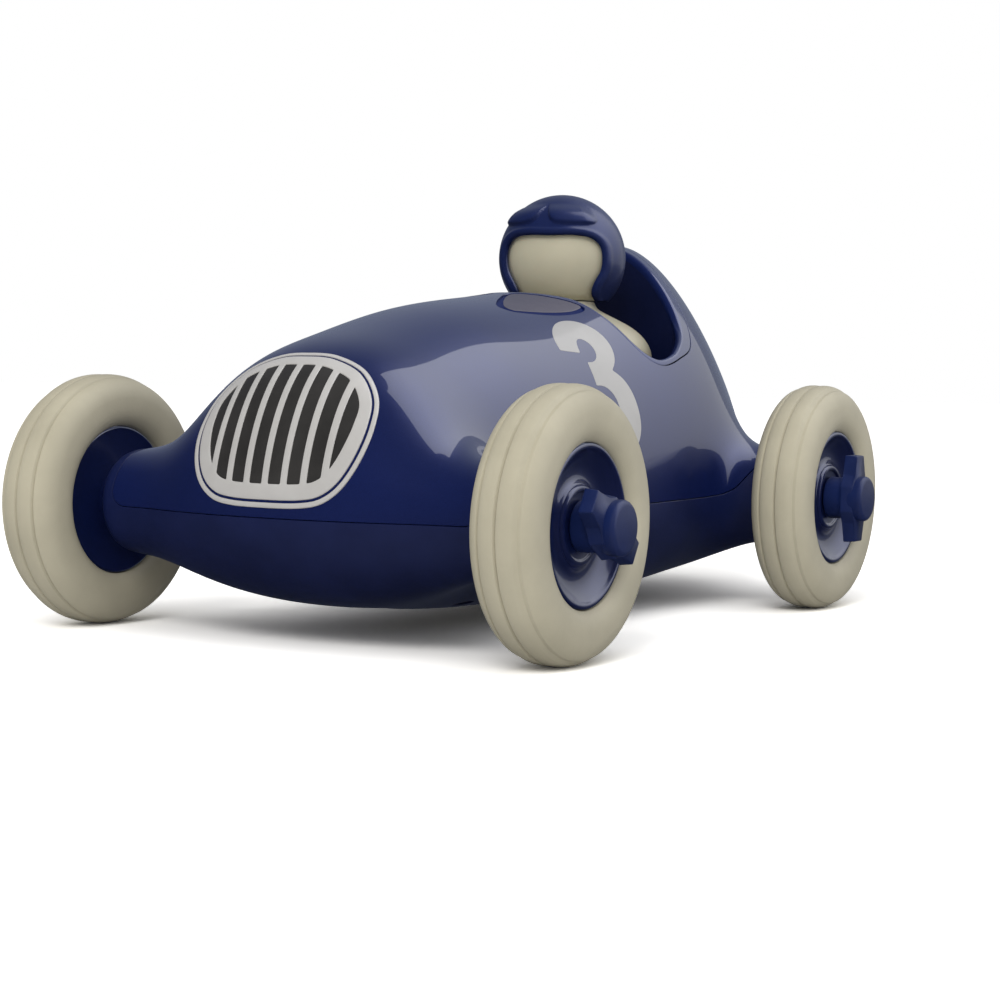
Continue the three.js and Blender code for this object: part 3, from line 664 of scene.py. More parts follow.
def body_skin():
    """The whole outside of the body as an even mesh of small quads, every point on the true surface."""
    rays, rings = 120, 22
    share, x0, bearing = np.array(RAYS, float).T
    s = np.linspace(0, 1, rays + 1)
    x0, bearing = np.interp(s, share, x0), np.radians(np.interp(s, share, bearing))
    way = np.column_stack([np.cos(bearing), np.sin(bearing), np.zeros(rays + 1)])
    way[0, 1] = way[-1, 1] = 0
    origin = np.column_stack([x0, np.zeros(rays + 1), np.full(rays + 1, SEAM_Z)])
    steps = np.arange(1.0, 150.0)
    probe = (origin[:, None] + way[:, None] * steps[None, :, None]).reshape(-1, 3)
    outside = body(probe).reshape(rays + 1, -1) > 0
    length = steps[outside.argmax(1)]
    near = reach(origin, way, length - 1, length, 18)
    u = near[:, None] * np.sin(np.linspace(0, 1, rings + 1) * math.pi / 2)
    level = (origin[:, None] + way[:, None] * u[:, :, None]).reshape(-1, 3)
    top = march(level, np.array([[0, 0, 1.0]]), 100)
    bottom = march(level, np.array([[0, 0, -1.0]]), 40)
    rim = (np.arange(len(level)) % (rings + 1)) == rings
    top[rim, 2] = bottom[rim, 2] = SEAM_Z
    verts, faces = [], []
    for side in (1, -1):
        for points, up in ((top, True), (bottom, False)):
            start = len(verts)
            verts += list(points * [1, side, 1])
            sheet = np.array(grid_faces(rays + 1, rings + 1, False)) + start
            faces += list(sheet[:, ::-1] if (side > 0) == up else sheet)
    rough = make("rough_body", verts, faces, PAINT)
    finish_solid(rough)
    remesh = rough.modifiers.new("even", "REMESH")
    remesh.mode = "VOXEL"
    remesh.voxel_size = VOXEL * MM
    graph = bpy.context.evaluated_depsgraph_get()
    even = rough.evaluated_get(graph).to_mesh()
    points = np.empty(3 * len(even.vertices))
    even.vertices.foreach_get("co", points)
    quads = [tuple(f.vertices) for f in even.polygons]
    bpy.data.objects.remove(rough)
    points = onto_body(points.reshape(-1, 3) / MM, 4)
    return points, quads


def polyline_distance(y, z, line):
    """Signed distance above a line that runs outwards and then up."""
    best = np.full(len(y), 1e9)
    for (ay, az), (by, bz) in zip(line[:-1], line[1:]):
        dy, dz = by - ay, bz - az
        t = np.clip(((y - ay) * dy + (z - az) * dz) / (dy * dy + dz * dz), 0, 1)
        best = np.minimum(best, np.hypot(y - ay - t * dy, z - az - t * dz))
    edge_y = np.interp(z, [p[1] for p in line], [p[0] for p in line])
    above = (z > line[0][1]) & (y < edge_y)
    return best * np.where(above, 1, -1)


def arc_corner(y, z, radius, steps=8):
    return [[y - radius + radius * math.sin(a), z + radius - radius * math.cos(a)]
            for a in np.linspace(0, math.pi / 2, steps)]


FRONT_SEAM = [[-200, SEAM_Z]] + arc_corner(ARM_SHELL_Y, SEAM_Z, 4.5) + [[ARM_SHELL_Y + 0.01, 150]]
REAR_SEAM = [[-200, SEAM_Z], [44, SEAM_Z], [48, SEAM_Z + 0.3], [51.5, SEAM_Z + 1.4], [54, SEAM_Z + 3.2],
             [56, SEAM_Z + 6.2], [ARM_SHELL_Y, 44], [ARM_SHELL_Y + 1.5, 48], [ARM_SHELL_Y + 3, 52],
             [ARM_SHELL_Y + 3.1, 150]]
MIDDLE_X = (FRONT_AXLE_X + REAR_AXLE_X) / 2


def seam(p):
    """Distance from the parting between the shells: positive in the upper one."""
    y, z = np.abs(p[:, 1]), p[:, 2]
    front = polyline_distance(y, z, FRONT_SEAM)
    rear = polyline_distance(y, z, REAR_SEAM)
    return np.where(p[:, 0] > MIDDLE_X, front, rear)


def mirrored(half, flip):
    return half + [flip(p) for p in half[-2:0:-1]]


RIM = evenly(rounded(mirrored(COCKPIT, lambda p: [p[0], -p[1], p[2]])), 1.0)
SCREEN_LOOPS = []
for side in (1, -1):
    pair = rounded([[a[0], side * a[1], b[0], side * b[1]] for a, b in SCREEN], 8)
    SCREEN_LOOPS.append((pair[:, :2], pair[:, 2:]))

SEAM_HALF_GAP = 0.26
RIM_GAP = 0.12
DECK_Z = 60                        # everything cut in the top of the body lies above this
BELLY_TOP_Z = 30                   # the screw holes lie below this
FAR = 99.0
# rolled edges: how far across, how deep, and the tilt in degrees
ROLL = [(0.05, 0.02, 25), (0.12, 0.08, 50), (0.17, 0.2, 80), (0.19, 0.5, 90)]
DEEP_ROLL = ROLL + [(0.2, 3.2, 90)]
SEAM_LEDGE = ROLL + [(0.2, 1.2, 90), (2.4, 1.4, 20), (2.5, 3.0, 90)]
SCREEN_ROLL = [(0.06, 0.04, 30), (0.16, 0.16, 60), (0.2, 0.4, 90), (0.2, 1.6, 90)]
BELLY_ROLL = [(0.2, 0.06, 45), (0.5, 0.12, 80)]
SCREW_HOLE_ROLL = [(0.15, 0.05, 45), (0.2, 0.3, 90), (0.2, 7.0, 90)]


def shells():
    points, quads = body_skin()
    normals = body_normal(points)
    upper = Skin(points, quads, normals)
    upper.cut(lambda p: seam(p) - SEAM_HALF_GAP, DEEP_ROLL)

    def off_rim(p):
        return np.where(p[:, 2] > DECK_Z, -loop_distance(p[:, :2], RIM[:, :2]), FAR) - RIM_GAP
    upper.cut(off_rim, DEEP_ROLL)
    for outline, _ in SCREEN_LOOPS:
        def off_screen(p, loop=outline):
            near = (p[:, 2] > DECK_Z) & (np.abs(p[:, 0] - 12) < 40)
            result = np.full(len(p), FAR)
            result[near] = -loop_distance(p[near, :2], loop)
            return result
        upper.cut(off_screen, SCREEN_ROLL)
    stand(upper.made("upper_shell_skin", PAINT), "car", "gloss_blue", "upper_shell")

    lower = Skin(points, quads, normals)
    lower.cut(lambda p: -seam(p) - SEAM_HALF_GAP, SEAM_LEDGE)
    lower.cut(lambda p: p[:, 2] - BELLY_Z, BELLY_ROLL, lambda p: p)
    for x, y in SCREW_PLACES.values():
        def off_screw(p, x=x, y=y):
            return np.where(p[:, 2] < BELLY_TOP_Z, np.hypot(p[:, 0] - x, p[:, 1] - y), FAR) - SCREW_HOLE_R
        lower.cut(off_screw, SCREW_HOLE_ROLL, None, (0, 0, 1))
    stand(lower.made("lower_shell_skin", SATIN), "car", "satin_blue", "lower_shell")


shells()


# ---- grille
def grille():
    outline = evenly(rounded(mirrored(GRILLE, lambda p: [-p[0], p[1]])), 0.8)
    n = body_normal(on_nose(outline))
    across = (n[:, 1:] * inward(outline)).sum(1)
    seen = n[:, 0] / np.hypot(n[:, 0], across)      # widths run over the surface, seen here from ahead
    ring_hole = [inset(outline, w * seen) for w in (GRILLE_RING, GRILLE_RING - 0.1, GRILLE_RING - 0.25)]
    ring_edge = insets(outline, [0, 0.1, 0.25])
    heights, tilts = [0.0, 0.2, 0.26], [90, 50, 8]
    ring = patch("grille_ring", ring_edge, [ring_hole], heights, tilts, on_nose, SILVER, 0.8)
    start = GRILLE_RING + GRILLE_LINE
    field_edge = [inset(outline, w * seen) for w in (start, start + 0.1, start + 0.25)]
    bars = evenly(inset(outline, (start + GRILLE_FIELD) * seen), 0.35)
    slots = []
    for k in range(GRILLE_SLOTS):
        middle = (k - (GRILLE_SLOTS - 1) / 2) * GRILLE_SLOT_PITCH
        left, right = middle - GRILLE_SLOT_WIDTH / 2, middle + GRILLE_SLOT_WIDTH / 2
        slots.append(slot_loop(bars, left, right))
    cuts = [insets(loop, [0, -0.08, -0.18]) for loop in slots]
    field = patch("grille_field", field_edge, cuts, heights, tilts, on_nose, SILVER, 0.9)
    stand(field, "car", "grille_silver", "grille_plate")
    stand(ring, "car", "grille_silver")
    for k, loop in enumerate(slots):
        black = patch(f"grille_slot_{k + 1}", insets(loop, [-0.1, 0.0]), [], [0.03, 0.04], [0, 0], on_nose,
                      BLACK, 1.2)
        stand(black, "car", "cockpit_dark")


def slot_loop(loop, left, right):
    """The part of a closed loop between two upright lines, its corners slightly rounded."""
    kept = []
    for (ay, az), (by, bz) in zip(loop, np.roll(loop, -1, 0)):
        if left <= ay <= right:
            kept.append([ay, az])
        crossings = [(edge - ay) / (by - ay) for edge in (left, right) if (ay - edge) * (by - edge) < 0]
        for t in sorted(crossings):
            kept.append([ay + (by - ay) * t, az + (bz - az) * t])
    return smoothed(evenly(np.array(kept), 0.3))


def smoothed(loop):
    return (np.roll(loop, 1, 0) + 2 * loop + np.roll(loop, -1, 0)) / 4


grille()


# ---- racing number
NUMERAL_OUTLINE = [
    [27.6, 42.4], [26.3, 46.4], [22.4, 50.7], [16.9, 53.6], [10.6, 54.6], [5.0, 53.4], [1.1, 50.2],
    [-0.6, 45.6], [0.5, 40.6], [3.0, 37.4], [6.0, 35.2], [2.6, 32.6], [0.4, 28.6], [-0.3, 23.4],
    [0.6, 17.6], [4.0, 12.6],
    [9.4, 9.6], [15.6, 8.9], [21.8, 10.4], [26.2, 14.2], [28.2, 19.4], [28.4, 22.6],
    [19.0, 23.4], [18.2, 20.2], [16.4, 18.2], [13.8, 17.8], [11.4, 19.2], [10.4, 22.2], [10.5, 25.8],
    [12.2, 28.6], [15.0, 30.0], [18.7, 30.2], [17.2, 38.1], [14.2, 38.2], [11.2, 39.4], [9.4, 41.8],
    [9.5, 44.4], [11.4, 46.3], [14.2, 46.4], [16.2, 44.8], [17.9, 41.3],
]
NUMERAL_CORNERS = [0, 10, 21, 22, 31, 32, 40]
NUMERAL_MIDDLE = 14.0


def cornered(points, corners, per_span=6):
    """Closed curve through the points, smooth except at the corners."""
    points = np.asarray(points, float)
    out = []
    for a, b in zip(corners, corners[1:] + [corners[0] + len(points)]):
        span = points[np.arange(a, b + 1) % len(points)]
        if len(span) == 2:
            out.append(span[0] + (span[1] - span[0]) * np.linspace(0, 1, 8, endpoint=False)[:, None])
        else:
            out.append(curve_through(span, per_span * (len(span) - 1), False))
    return np.concatenate(out)


def numeral(name, side):
    loop = cornered(NUMERAL_OUTLINE, NUMERAL_CORNERS)
    if side < 0:
        loop = loop * [-1, 1] + [2 * NUMERAL_MIDDLE, 0]
    loop = smoothed(evenly(loop, 0.5))
    edge = insets(loop, [0, 0.06, 0.14])
    digit = patch(name, edge, [], [-0.02, 0.06, 0.08], [80, 30, 0], on_flank(side), NUMERAL, 1.3)
    stand(digit, "car", "gloss_blue")


numeral("numeral_left", 1)
numeral("numeral_right", -1)

# ---- cockpit
COLLAR_ROLL = 1.5
SOCKET_R = 21.3
SOCKET_WALL = 2.2
SOCKET_TOP_Z = 58


def along(direction_a, direction_b, share):
    """Directions turned part of the way from one to another."""
    angle = np.arccos(np.clip((direction_a * direction_b).sum(1), -1, 1))[:, None]
    return (direction_a * np.sin((1 - share) * angle) + direction_b * np.sin(share * angle)) / np.sin(angle)


def loft(name, rows, look, normals=None):
    """Skin through closed rows of points."""
    piece = make(name, np.concatenate(rows), grid_faces(len(rows), len(rows[0])), look, normals)
    if normals is None:
        finish_solid(piece, 50)
    return piece


def collar():
    rim, width = RIM[:, :2], RIM[:, 2]
    into = np.column_stack([inward(rim), np.zeros(len(rim))])
    rows, normals = [], []
    seam_place = on_top(inset(rim, RIM_GAP))
    n = body_normal(seam_place)
    edge = 0.22
    for depth, out, tilt in [(3.0, 0.0, 90), (0.5, 0.0, 90), (0.2, 0.03, 75), (0.06, 0.1, 45)]:
        c, s = math.cos(math.radians(tilt)), math.sin(math.radians(tilt))
        rows.append(seam_place - n * depth + into * out)
        normals.append(n * c - into * s)
    lean = 1 - (n * into).sum(1)
    roll = np.minimum(COLLAR_ROLL, (width - 0.55) / lean)
    flat_end = width - roll * lean
    for share in np.linspace(0, 1, 9):
        place = on_top(inset(rim, RIM_GAP + edge + (flat_end - RIM_GAP - edge) * share))
        rows.append(place)
        normals.append(body_normal(place))
    last, n = rows[-1], normals[-1]
    centre = last - n * roll[:, None]
    for share in np.linspace(0, 1, 9)[1:]:
        turn = along(n, into, share)
        rows.append(centre + turn * roll[:, None])
        normals.append(turn)
    wall = rows[-1]
    for drop in (0.5, 1.0):
        rows.append(wall - np.array([0, 0, drop]))
        normals.append(into)
    piece = loft("cockpit_collar", rows, COLLAR, np.concatenate(normals))
    stand(piece, "car", "gloss_blue", "cockpit_surround")
    return wall


def tub(wall):
    """Walls from just under the collar down to a floor with a round fillet, and the driver's socket."""
    middle = np.array([DRIVER_X, 0, 0])
    top = wall - [0, 0, 0.6]
    into = np.column_stack([inward(wall[:, :2]), np.zeros(len(wall))])
    fillet = 4.0
    rows = [top - into * 0.12]
    for share in np.linspace(0, 1, 14):
        row = top + into * (0.6 * share - 0.1)
        row[:, 2] = top[:, 2] * (1 - share) + (TUB_FLOOR_Z + fillet) * share
        rows.append(row)
    base = rows[-1]
    for angle in np.linspace(0, math.pi / 2, 6)[1:]:
        row = base + into * fillet * (1 - math.cos(angle))
        row[:, 2] = TUB_FLOOR_Z + fillet * (1 - math.sin(angle))
        rows.append(row)
    edge = rows[-1]
    for share in (0.25, 0.5, 0.75, 0.995):
        rows.append(edge * (1 - share) + (middle + [0, 0, TUB_FLOOR_Z]) * share)
    stand(loft("cockpit_tub_lining", rows, TUB), "car", "cockpit_dark", "cockpit_tub")
    seat = tube(SOCKET_R, SOCKET_R + SOCKET_WALL, TUB_FLOOR_Z - 1, SOCKET_TOP_Z, 0.6)
    stand(lathe("driver_socket", seat, TUB, 72, "Z", (DRIVER_X, 0, 0)), "car", "cockpit_dark")


tub(collar())


def screens():
    for (outline, inner), side in zip(SCREEN_LOOPS, ("left", "right")):
        shares = [0.0, 0.1, 0.22, 0.4, 0.58, 0.75, 0.9, 1.0]
        depths = [-0.75, -0.8, -0.8, -0.72, -0.56, -0.36, -0.15, 0.0]
        lean = [5, 0, -4, -10, -15, -18, -18, -12]
        fillet = [outline * (1 - t) + inner * t for t in shares]
        sheet = [inset(inner, w) for w in (0.0, 0.3)]
        for name, *shape, look in (("border", fillet, [], depths, lean, on_top, BORDER),
                                   ("lens", sheet, [], [0.03, 0.08], [30, 0], on_top, LENS)):
            stand(patch(f"screen_{name}_{side}", *shape, look, 1.0), "car", "gloss_blue")


screens()


# ---- driver
def yawed(piece):
    """Turned about the neck to where the driver looks."""
    neck = Matrix.Translation(Vector((DRIVER_X * MM, 0, 0)))
    back = Matrix.Translation(Vector((-DRIVER_X * MM, 0, 0)))
    piece.data.transform(neck @ Matrix.Rotation(HEAD_YAW, 4, "Z") @ back)
    return piece


def torso():
    shoulder = curve_through([[21, 58.6], [22.2, 60.0], [24.6, 63], [27.5, 68], [29, 74.5], [28.3, 80.5],
                              [24.8, 85.3], [19, 89], [13.5, 91.7], [11.2, 93.3], [10.4, 94.9]], 48)
    profile = [[0, 48.3], [20.4, 48.3], [21, 48.9], *shoulder, [9.6, 95.0], [5, 95.0], [5, 100.4], [4.4, 101],
               [0, 101]]
    piece = lathe("driver_body", profile, CREAM, 112, "Z", (DRIVER_X, 0, 0), 50)
    stand(piece, "driver", "figure_cream", "driver_torso").visible_glossy = False


def head():
    rise = np.linspace(math.radians(-47), math.pi / 2, 40)
    ball = [[HEAD_R * math.cos(a), HELMET_Z + HEAD_R * math.sin(a)] for a in rise]
    ball[-1][0] = 0
    neck = curve_through([[9.7, 95.25], [10.6, 95.4], [11.2, 95.75], ball[1]], 8)[:-1]
    profile = [[0, 101.4], [5.3, 101.4], [5.3, 95.25], *neck, *ball[1:]]
    piece = yawed(lathe("driver_face", profile, CREAM, 112, "Z", (DRIVER_X, 0, 0), 50))
    stand(piece, "driver_head", "figure_cream", "driver_head").visible_glossy = False


torso()
head()

FACE = rounded(mirrored([[0, 115.6], [7.5, 115.8], [12.8, 115.0], [15.8, 112.4], [16.7, 108.5], [16.2, 104.0],
                         [14.2, 100.0], [12.9, 96.6], [12.4, 91.0], [0, 84.0]], lambda p: [-p[0], p[1]]), 10)
# one goggle lens on the helmet: degrees round from the nose notch, degrees up
GOGGLE = rounded([[1.8, 53], [2.6, 49], [4.6, 42], [7.5, 35.5], [12, 31.2], [20, 29.4], [30, 29], [42, 29],
                  [52, 29.6], [59, 31.8], [64, 37], [64, 45], [56, 53], [42, 59.5], [24, 63.5], [10, 62.5],
                  [3, 58]], 10)
GOGGLE_TURN = math.radians(-8.5)
GOGGLE_HEIGHT = 1.35
GOGGLE_DOME = 0.5
BEAD_HEIGHT = 0.45


def helmet():
    """A thick bowl with a rolled edge round the face and moulded goggles pushed up on the brow."""
    around, up = 340, 160
    centre = np.array([DRIVER_X, 0, HELMET_Z])
    low = math.asin((NECK_Z - 0.6 - HELMET_Z) / HELMET_R)
    angles = np.linspace(0, 2 * math.pi, around, endpoint=False)
    rise = np.linspace(low, math.radians(89.4), up)
    a, e = np.meshgrid(angles, rise, indexing="ij")
    parts = (np.cos(e) * np.cos(a), np.cos(e) * np.sin(a), np.sin(e))
    way = np.column_stack([part.ravel() for part in parts])
    faces = [(i * up + j, (i + 1) % around * up + j, (i + 1) % around * up + j + 1, i * up + j + 1)
             for i in range(around) for j in range(up - 1)]
    faces.append(tuple(i * up + up - 1 for i in range(around)))

    def opening(p):
        return np.where(p[:, 0] > DRIVER_X, -loop_distance(p[:, 1:3], FACE), 99.0)

    def shaped(p):
        """Goggles and the bead round the face, pushed out from the plain bowl."""
        rel = p - centre
        length = np.linalg.norm(rel, axis=1)
        ray = rel / length[:, None]
        degrees = np.column_stack([np.degrees(np.arctan2(ray[:, 1], ray[:, 0]) - GOGGLE_TURN),
                                   np.degrees(np.arcsin(np.clip(ray[:, 2], -1, 1)))])
        raised = np.zeros(len(p))
        for side in (1, -1):
            d = loop_distance(degrees * [side, 1], GOGGLE) * math.radians(1) * HELMET_R
            wide = np.clip(d / 0.6, 0, 1)
            crown = np.clip(d / 4.5, 0, 1)
            fade = np.clip((57 - degrees[:, 1]) / 24, 0, 1) * np.clip((68 - degrees[:, 0] * side) / 24, 0, 1)
            fade *= fade * (3 - 2 * fade)
            lens = (GOGGLE_HEIGHT * np.sqrt(1 - (1 - wide) ** 2) + GOGGLE_DOME * crown * (2 - crown)) * fade
            raised = np.maximum(raised, lens)
        bead = BEAD_HEIGHT * np.exp(-(np.clip(opening(p), 0, 99) / 1.3 - 0.55) ** 2 / 0.28)
        return p + ray * np.maximum(raised, bead)[:, None]

    bowl = Skin(centre + way * HELMET_R, faces, way)
    on_ball = lambda p: centre + (p - centre) / np.linalg.norm(p - centre, axis=1)[:, None] * HELMET_R
    face_border = bowl.clip(opening, on_ball)
    foot = lambda p: p[:, 2] - NECK_Z - 0.3
    foot_border = bowl.clip(foot, lambda p: p)
    outside = len(bowl.verts)
    thick = HELMET_R - HELMET_INSIDE_R
    roll = [(0.2, 0.12, 25), (0.42, 0.4, 50), (0.5, 0.9, 90), (0.42, 1.35, 130), (0.1, thick, 180)]
    bowl.lip(face_border, opening, roll + [(-2.5, thick + 0.05, 180), (-6.0, thick + 0.3, 180)])
    bowl.lip(foot_border, foot, [(0.1, 0.1, 30), (0.2, 0.9, 90), (0.1, thick, 180), (-6.0, thick + 0.6, 180)])
    bowl.verts[:outside] = list(shaped(np.array(bowl.verts[:outside])))
    piece = bowl.made("driver_helmet_shell", HELMET, False)
    stand(yawed(piece), "driver_head", "gloss_blue", "driver_helmet").visible_glossy = False


helmet()


# ---- wheels
def tyre_profile():
    """Superellipse section with three grooves in the tread, and a bead at the hub."""
    tread = []
    for y in np.linspace(-9.1, 9.1, 241):
        crown = (1 - (abs(y) / TYRE_HALF_WIDTH) ** TYRE_ROUNDNESS) ** (1 / TYRE_ROUNDNESS)
        r = TYRE_MIDDLE_R + (TYRE_R - TYRE_MIDDLE_R) * crown
        for middle, depth, half in GROOVES:
            d = abs(y - middle)
            r -= depth * max(1 - d / half, 0) + GROOVE_DIP * math.exp(-(d / GROOVE_EASE) ** 2)
        tread.append([r, y])
    flank = [[27.2, 9.2], [26.2, 9.24], [25.2, 9.22], [23.8, 9.05], [22.6, 8.62], [21.7, 8.0], [21.05, 7.35],
             [20.75, 6.6]]
    return flank[::-1] + tread[::-1] + [[r, -y] for r, y in flank]


def hub_profile():
    dish = [[10.4, 4.4], [11.3, 3.55], [13.0, 3.3], [15.0, 3.6], [17.2, 4.75], [18.9, 6.2]]
    boss = softened([[2.8, HUB_FLOOR], [8.4, HUB_FLOOR], [8.6, 5.3], [9.7, 5.3], [10.4, 4.4]], 0.35)
    return [*boss[1:-1], *curve_through(dish, 20), [19.1, 6.75], [19.35, 7.0], [20.1, 7.0], [HUB_R, 6.7],
            [HUB_R, HUB_IN + 0.4], [20.0, HUB_IN], [15.5, HUB_IN + 0.8], [8.4, HUB_IN + 0.9],
            [7.6, HUB_IN + 0.6], [6.6, HUB_BARREL_IN + 0.2], [6.2, HUB_BARREL_IN], [2.8, HUB_BARREL_IN]]


def nut_shape(name, look):
    """Wheel nut: a long hexagonal bar with ears, a domed round cap and a barrel behind."""
    right = [[3.3, EAR_LENGTH], [4.1, 7.4], [6.9, 3.9], [6.9, -3.9], [4.1, -7.4], [3.3, -EAR_LENGTH]]
    plan = [[-3.3, EAR_LENGTH]] + right + [[-x, z] for x, z in right[:0:-1]]
    work = bmesh.new()
    low = [work.verts.new((x * MM * 1.04, EAR_IN * MM, z * MM)) for x, z in plan]
    high = [work.verts.new((x * MM * 0.94, EAR_OUT * MM, z * MM * 0.985)) for x, z in plan]
    count = len(plan)
    for k in range(count):
        work.faces.new((low[k], low[(k + 1) % count], high[(k + 1) % count], high[k]))
    work.faces.new(high)
    work.faces.new(low[::-1])
    bmesh.ops.bevel(work, geom=list(work.edges), offset=0.45 * MM, segments=3, profile=0.6, affect="EDGES")
    bmesh.ops.recalc_face_normals(work, faces=work.faces)
    mesh = bpy.data.meshes.new(name)
    work.to_mesh(mesh)
    work.free()
    mesh.polygons.foreach_set("use_smooth", [True] * len(mesh.polygons))
    mesh.materials.append(look)
    bar = linked(name, mesh)
    dome = [[5.45 + 1.5 * math.cos(a), 16.1 + 1.35 * math.sin(a)] for a in np.linspace(0.1, math.pi / 2, 7)]
    cap = [[0, 12.4], [2.8, 12.4], [6.6, 12.4], [6.95, 13.5], [6.95, 16.0], *dome,
           [3.5, SPINNER_OUT - 0.12], [1.5, SPINNER_OUT], [0, SPINNER_OUT]]
    barrel = [[2.8, 4.9], [6.2, 4.9], [6.5, 5.3], [6.4, 9.8], [6.8, 11.2], [2.8, 11.2]]
    top = lathe(name + "_cap", cap, look, 72)
    stem = lathe(name + "_stem", softened(barrel, 0.3), look, 72)
    merge(bar, [top, stem])
    return bar


def merge(target, others):
    """Puts the meshes of others into target."""
    work = bmesh.new()
    work.from_mesh(target.data)
    for other in others:
        work.from_mesh(other.data)
    work.to_mesh(target.data)
    work.free()
    for other in others:
        bpy.data.objects.remove(other)


def placed(source, name, end, side, turn=0.0):
    """A copy of a wheel piece at one corner of the car, facing outwards."""
    piece = linked(name, source.data.copy())
    flip = Matrix.Rotation(0 if side == "left" else math.pi, 4, "Z")
    spin = Matrix.Rotation(math.radians(turn) * (1 if side == "left" else -1), 4, "Y")
    piece.data.transform(Matrix.Translation((AXLE_X[end] * MM, 0, AXLE_Z * MM)) @ flip @ spin)
    return piece


def wheels():
    out = (0, HALF_TRACK, 0)
    tyre = lathe("tyre_source", tyre_profile(), RUBBER, 160, "Y", out, 60)
    hub = lathe("hub_source", hub_profile(), HUB_PAINT, 128, "Y", out, 50)
    nut = nut_shape("nut_source", NUT)
    nut.data.transform(Matrix.Translation((0, HALF_TRACK * MM, 0)))
    flange = [[BORE_R, BUSH_IN], [7.5, BUSH_IN], [7.5, BUSH_IN + 1]]
    sleeve = [[BUSH_R, BUSH_IN + 1], [BUSH_R, BUSH_OUT], [BORE_R, BUSH_OUT]]
    bush = lathe("bush_source", softened(flange + sleeve, 0.2), NYLON, 64)
    washer = lathe("washer_source", tube(BORE_R, 6, WASHER_IN, WASHER_OUT, 0.15), STEEL, 64)
    sources = {"tyre": (tyre, "tyre_rubber", 0), "hub": (hub, "gloss_blue", 0),
               "spinner": (nut, "satin_blue", 1), "bush": (bush, "bush_nylon", 0),
               "washer": (washer, "steel", 0)}
    for end in AXLE_X:
        for side in ("left", "right"):
            for kind, (source, slot, turned) in sources.items():
                turn = SPINNER_ANGLE[end] * turned
                piece = placed(source, f"{kind}_piece_{end}_{side}", end, side, turn)
                rides_on = "car" if kind == "bush" else f"{end}_wheels"
                stand(piece, rides_on, slot, f"{kind}_{end}_{side}")
                piece.visible_glossy = kind in ("hub", "spinner")     # no pale tyres mirrored in the flanks
        reach = HALF_TRACK + AXLE_OUT
        rod = softened([[0, -reach], [AXLE_R, -reach], [AXLE_R, reach], [0, reach]], 0.5)
        axle = lathe(f"axle_piece_{end}", rod, STEEL, 48, "Y", (AXLE_X[end], 0, AXLE_Z))
        stand(axle, f"{end}_wheels", "steel", f"axle_{end}")
    for source, _, _ in sources.values():
        bpy.data.objects.remove(source)


wheels()


# ---- screws underneath
def screws():
    for place, (x, y) in SCREW_PLACES.items():
        head = SCREW_HEAD_Z
        profile = [[0, head + 0.9], [0.9, head + 0.9], [1.0, head], [2.6, head], [3.0, head + 0.5],
                   [3.0, 14.4], [2.6, 15.0], [1.5, 15.2], [1.3, 16.0], [1.5, 44.0], [0.4, 46.0], [0, 46.0]]
        piece = lathe(f"screw_{place}", profile, STEEL, 40, "Z", (x, y, 0))
        stand(piece, "car", "steel", f"shell_screw_{place}")


screws()

# ---- studio
CAMERA_PLACE = Vector((553.6, 318.9, 71.9)) * MM
CAMERA_TARGET = Vector((4.6, 0, 33.7)) * MM
CAMERA_ROLL = math.radians(0.97)
CAMERA_LENS = 75.49
FLOOR_HALF = 6.0
FLOOR_BOUNCED, FLOOR_SEEN = (0.78, 0.80), (1.62, 1.68)      # how light the floor is, darkest and lightest
PANEL_RADIUS = 1600.0
PANEL_AROUND = (92.0, 176.0)       # degrees from the nose towards the car's left
PANEL_UP = (1.0, 80.0)
ROOM_STRENGTH = 0.54
ROOM_BRIGHT_SIDE = Vector((-0.80, -0.30, 0.52))
# what the gloss mirrors of the room, from beside its bright side to straight at it
ROOM_MIRRORED = [(0.0, (0.012, 0.014, 0.03)), (0.45, (0.03, 0.035, 0.06)), (0.8, (0.13, 0.15, 0.21)),
                 (1.0, (0.25, 0.28, 0.36))]
WARM = (1, 0.98, 0.95)
KEY_FROM = Vector((1.0, 0.22, 0.85))


def aimed(piece, place, target):
    turn = (target - place).to_track_quat("-Z", "Y").to_matrix().to_4x4()
    piece.matrix_world = Matrix.Translation(place) @ turn
    return piece


def camera():
    data = bpy.data.cameras.new("camera")
    data.lens = CAMERA_LENS
    data.sensor_width = 36
    data.clip_start, data.clip_end = 0.01, 50
    eye = aimed(linked("camera", data), CAMERA_PLACE, CAMERA_TARGET)
    eye.matrix_world = eye.matrix_world @ Matrix.Rotation(CAMERA_ROLL, 4, "Z")
    bpy.context.scene.camera = eye


def area_light(name, place, target, size, watts, colour):
    data = bpy.data.lights.new(name, "AREA")
    data.shape = "RECTANGLE"
    data.size = data.size_y = size
    data.energy, data.color = watts, colour
    lamp = aimed(linked(name, data), Vector(place), Vector(target))
    lamp.visible_glossy = lamp.visible_camera = False


def key_light():
    """Soft light from ahead that throws the shadows back under the car."""
    data = bpy.data.lights.new("soft_key", "SUN")
    data.energy, data.angle, data.color = 1.0, math.radians(25), WARM
    lamp = linked("soft_key", data)
    lamp.matrix_world = KEY_FROM.to_track_quat("Z", "Y").to_matrix().to_4x4()
    lamp.visible_glossy = False


def shader_mix(tree, factor, first, second):
    node = add(tree, "MixShader")
    for value, socket in zip((factor, first, second), node.inputs):
        tree.links.new(value, socket)
    return node.outputs[0]


def bare_look(name):
    look = bpy.data.materials.new(name)
    look.use_nodes = True
    look.node_tree.nodes.remove(look.node_tree.nodes["Principled BSDF"])
    return look, look.node_tree


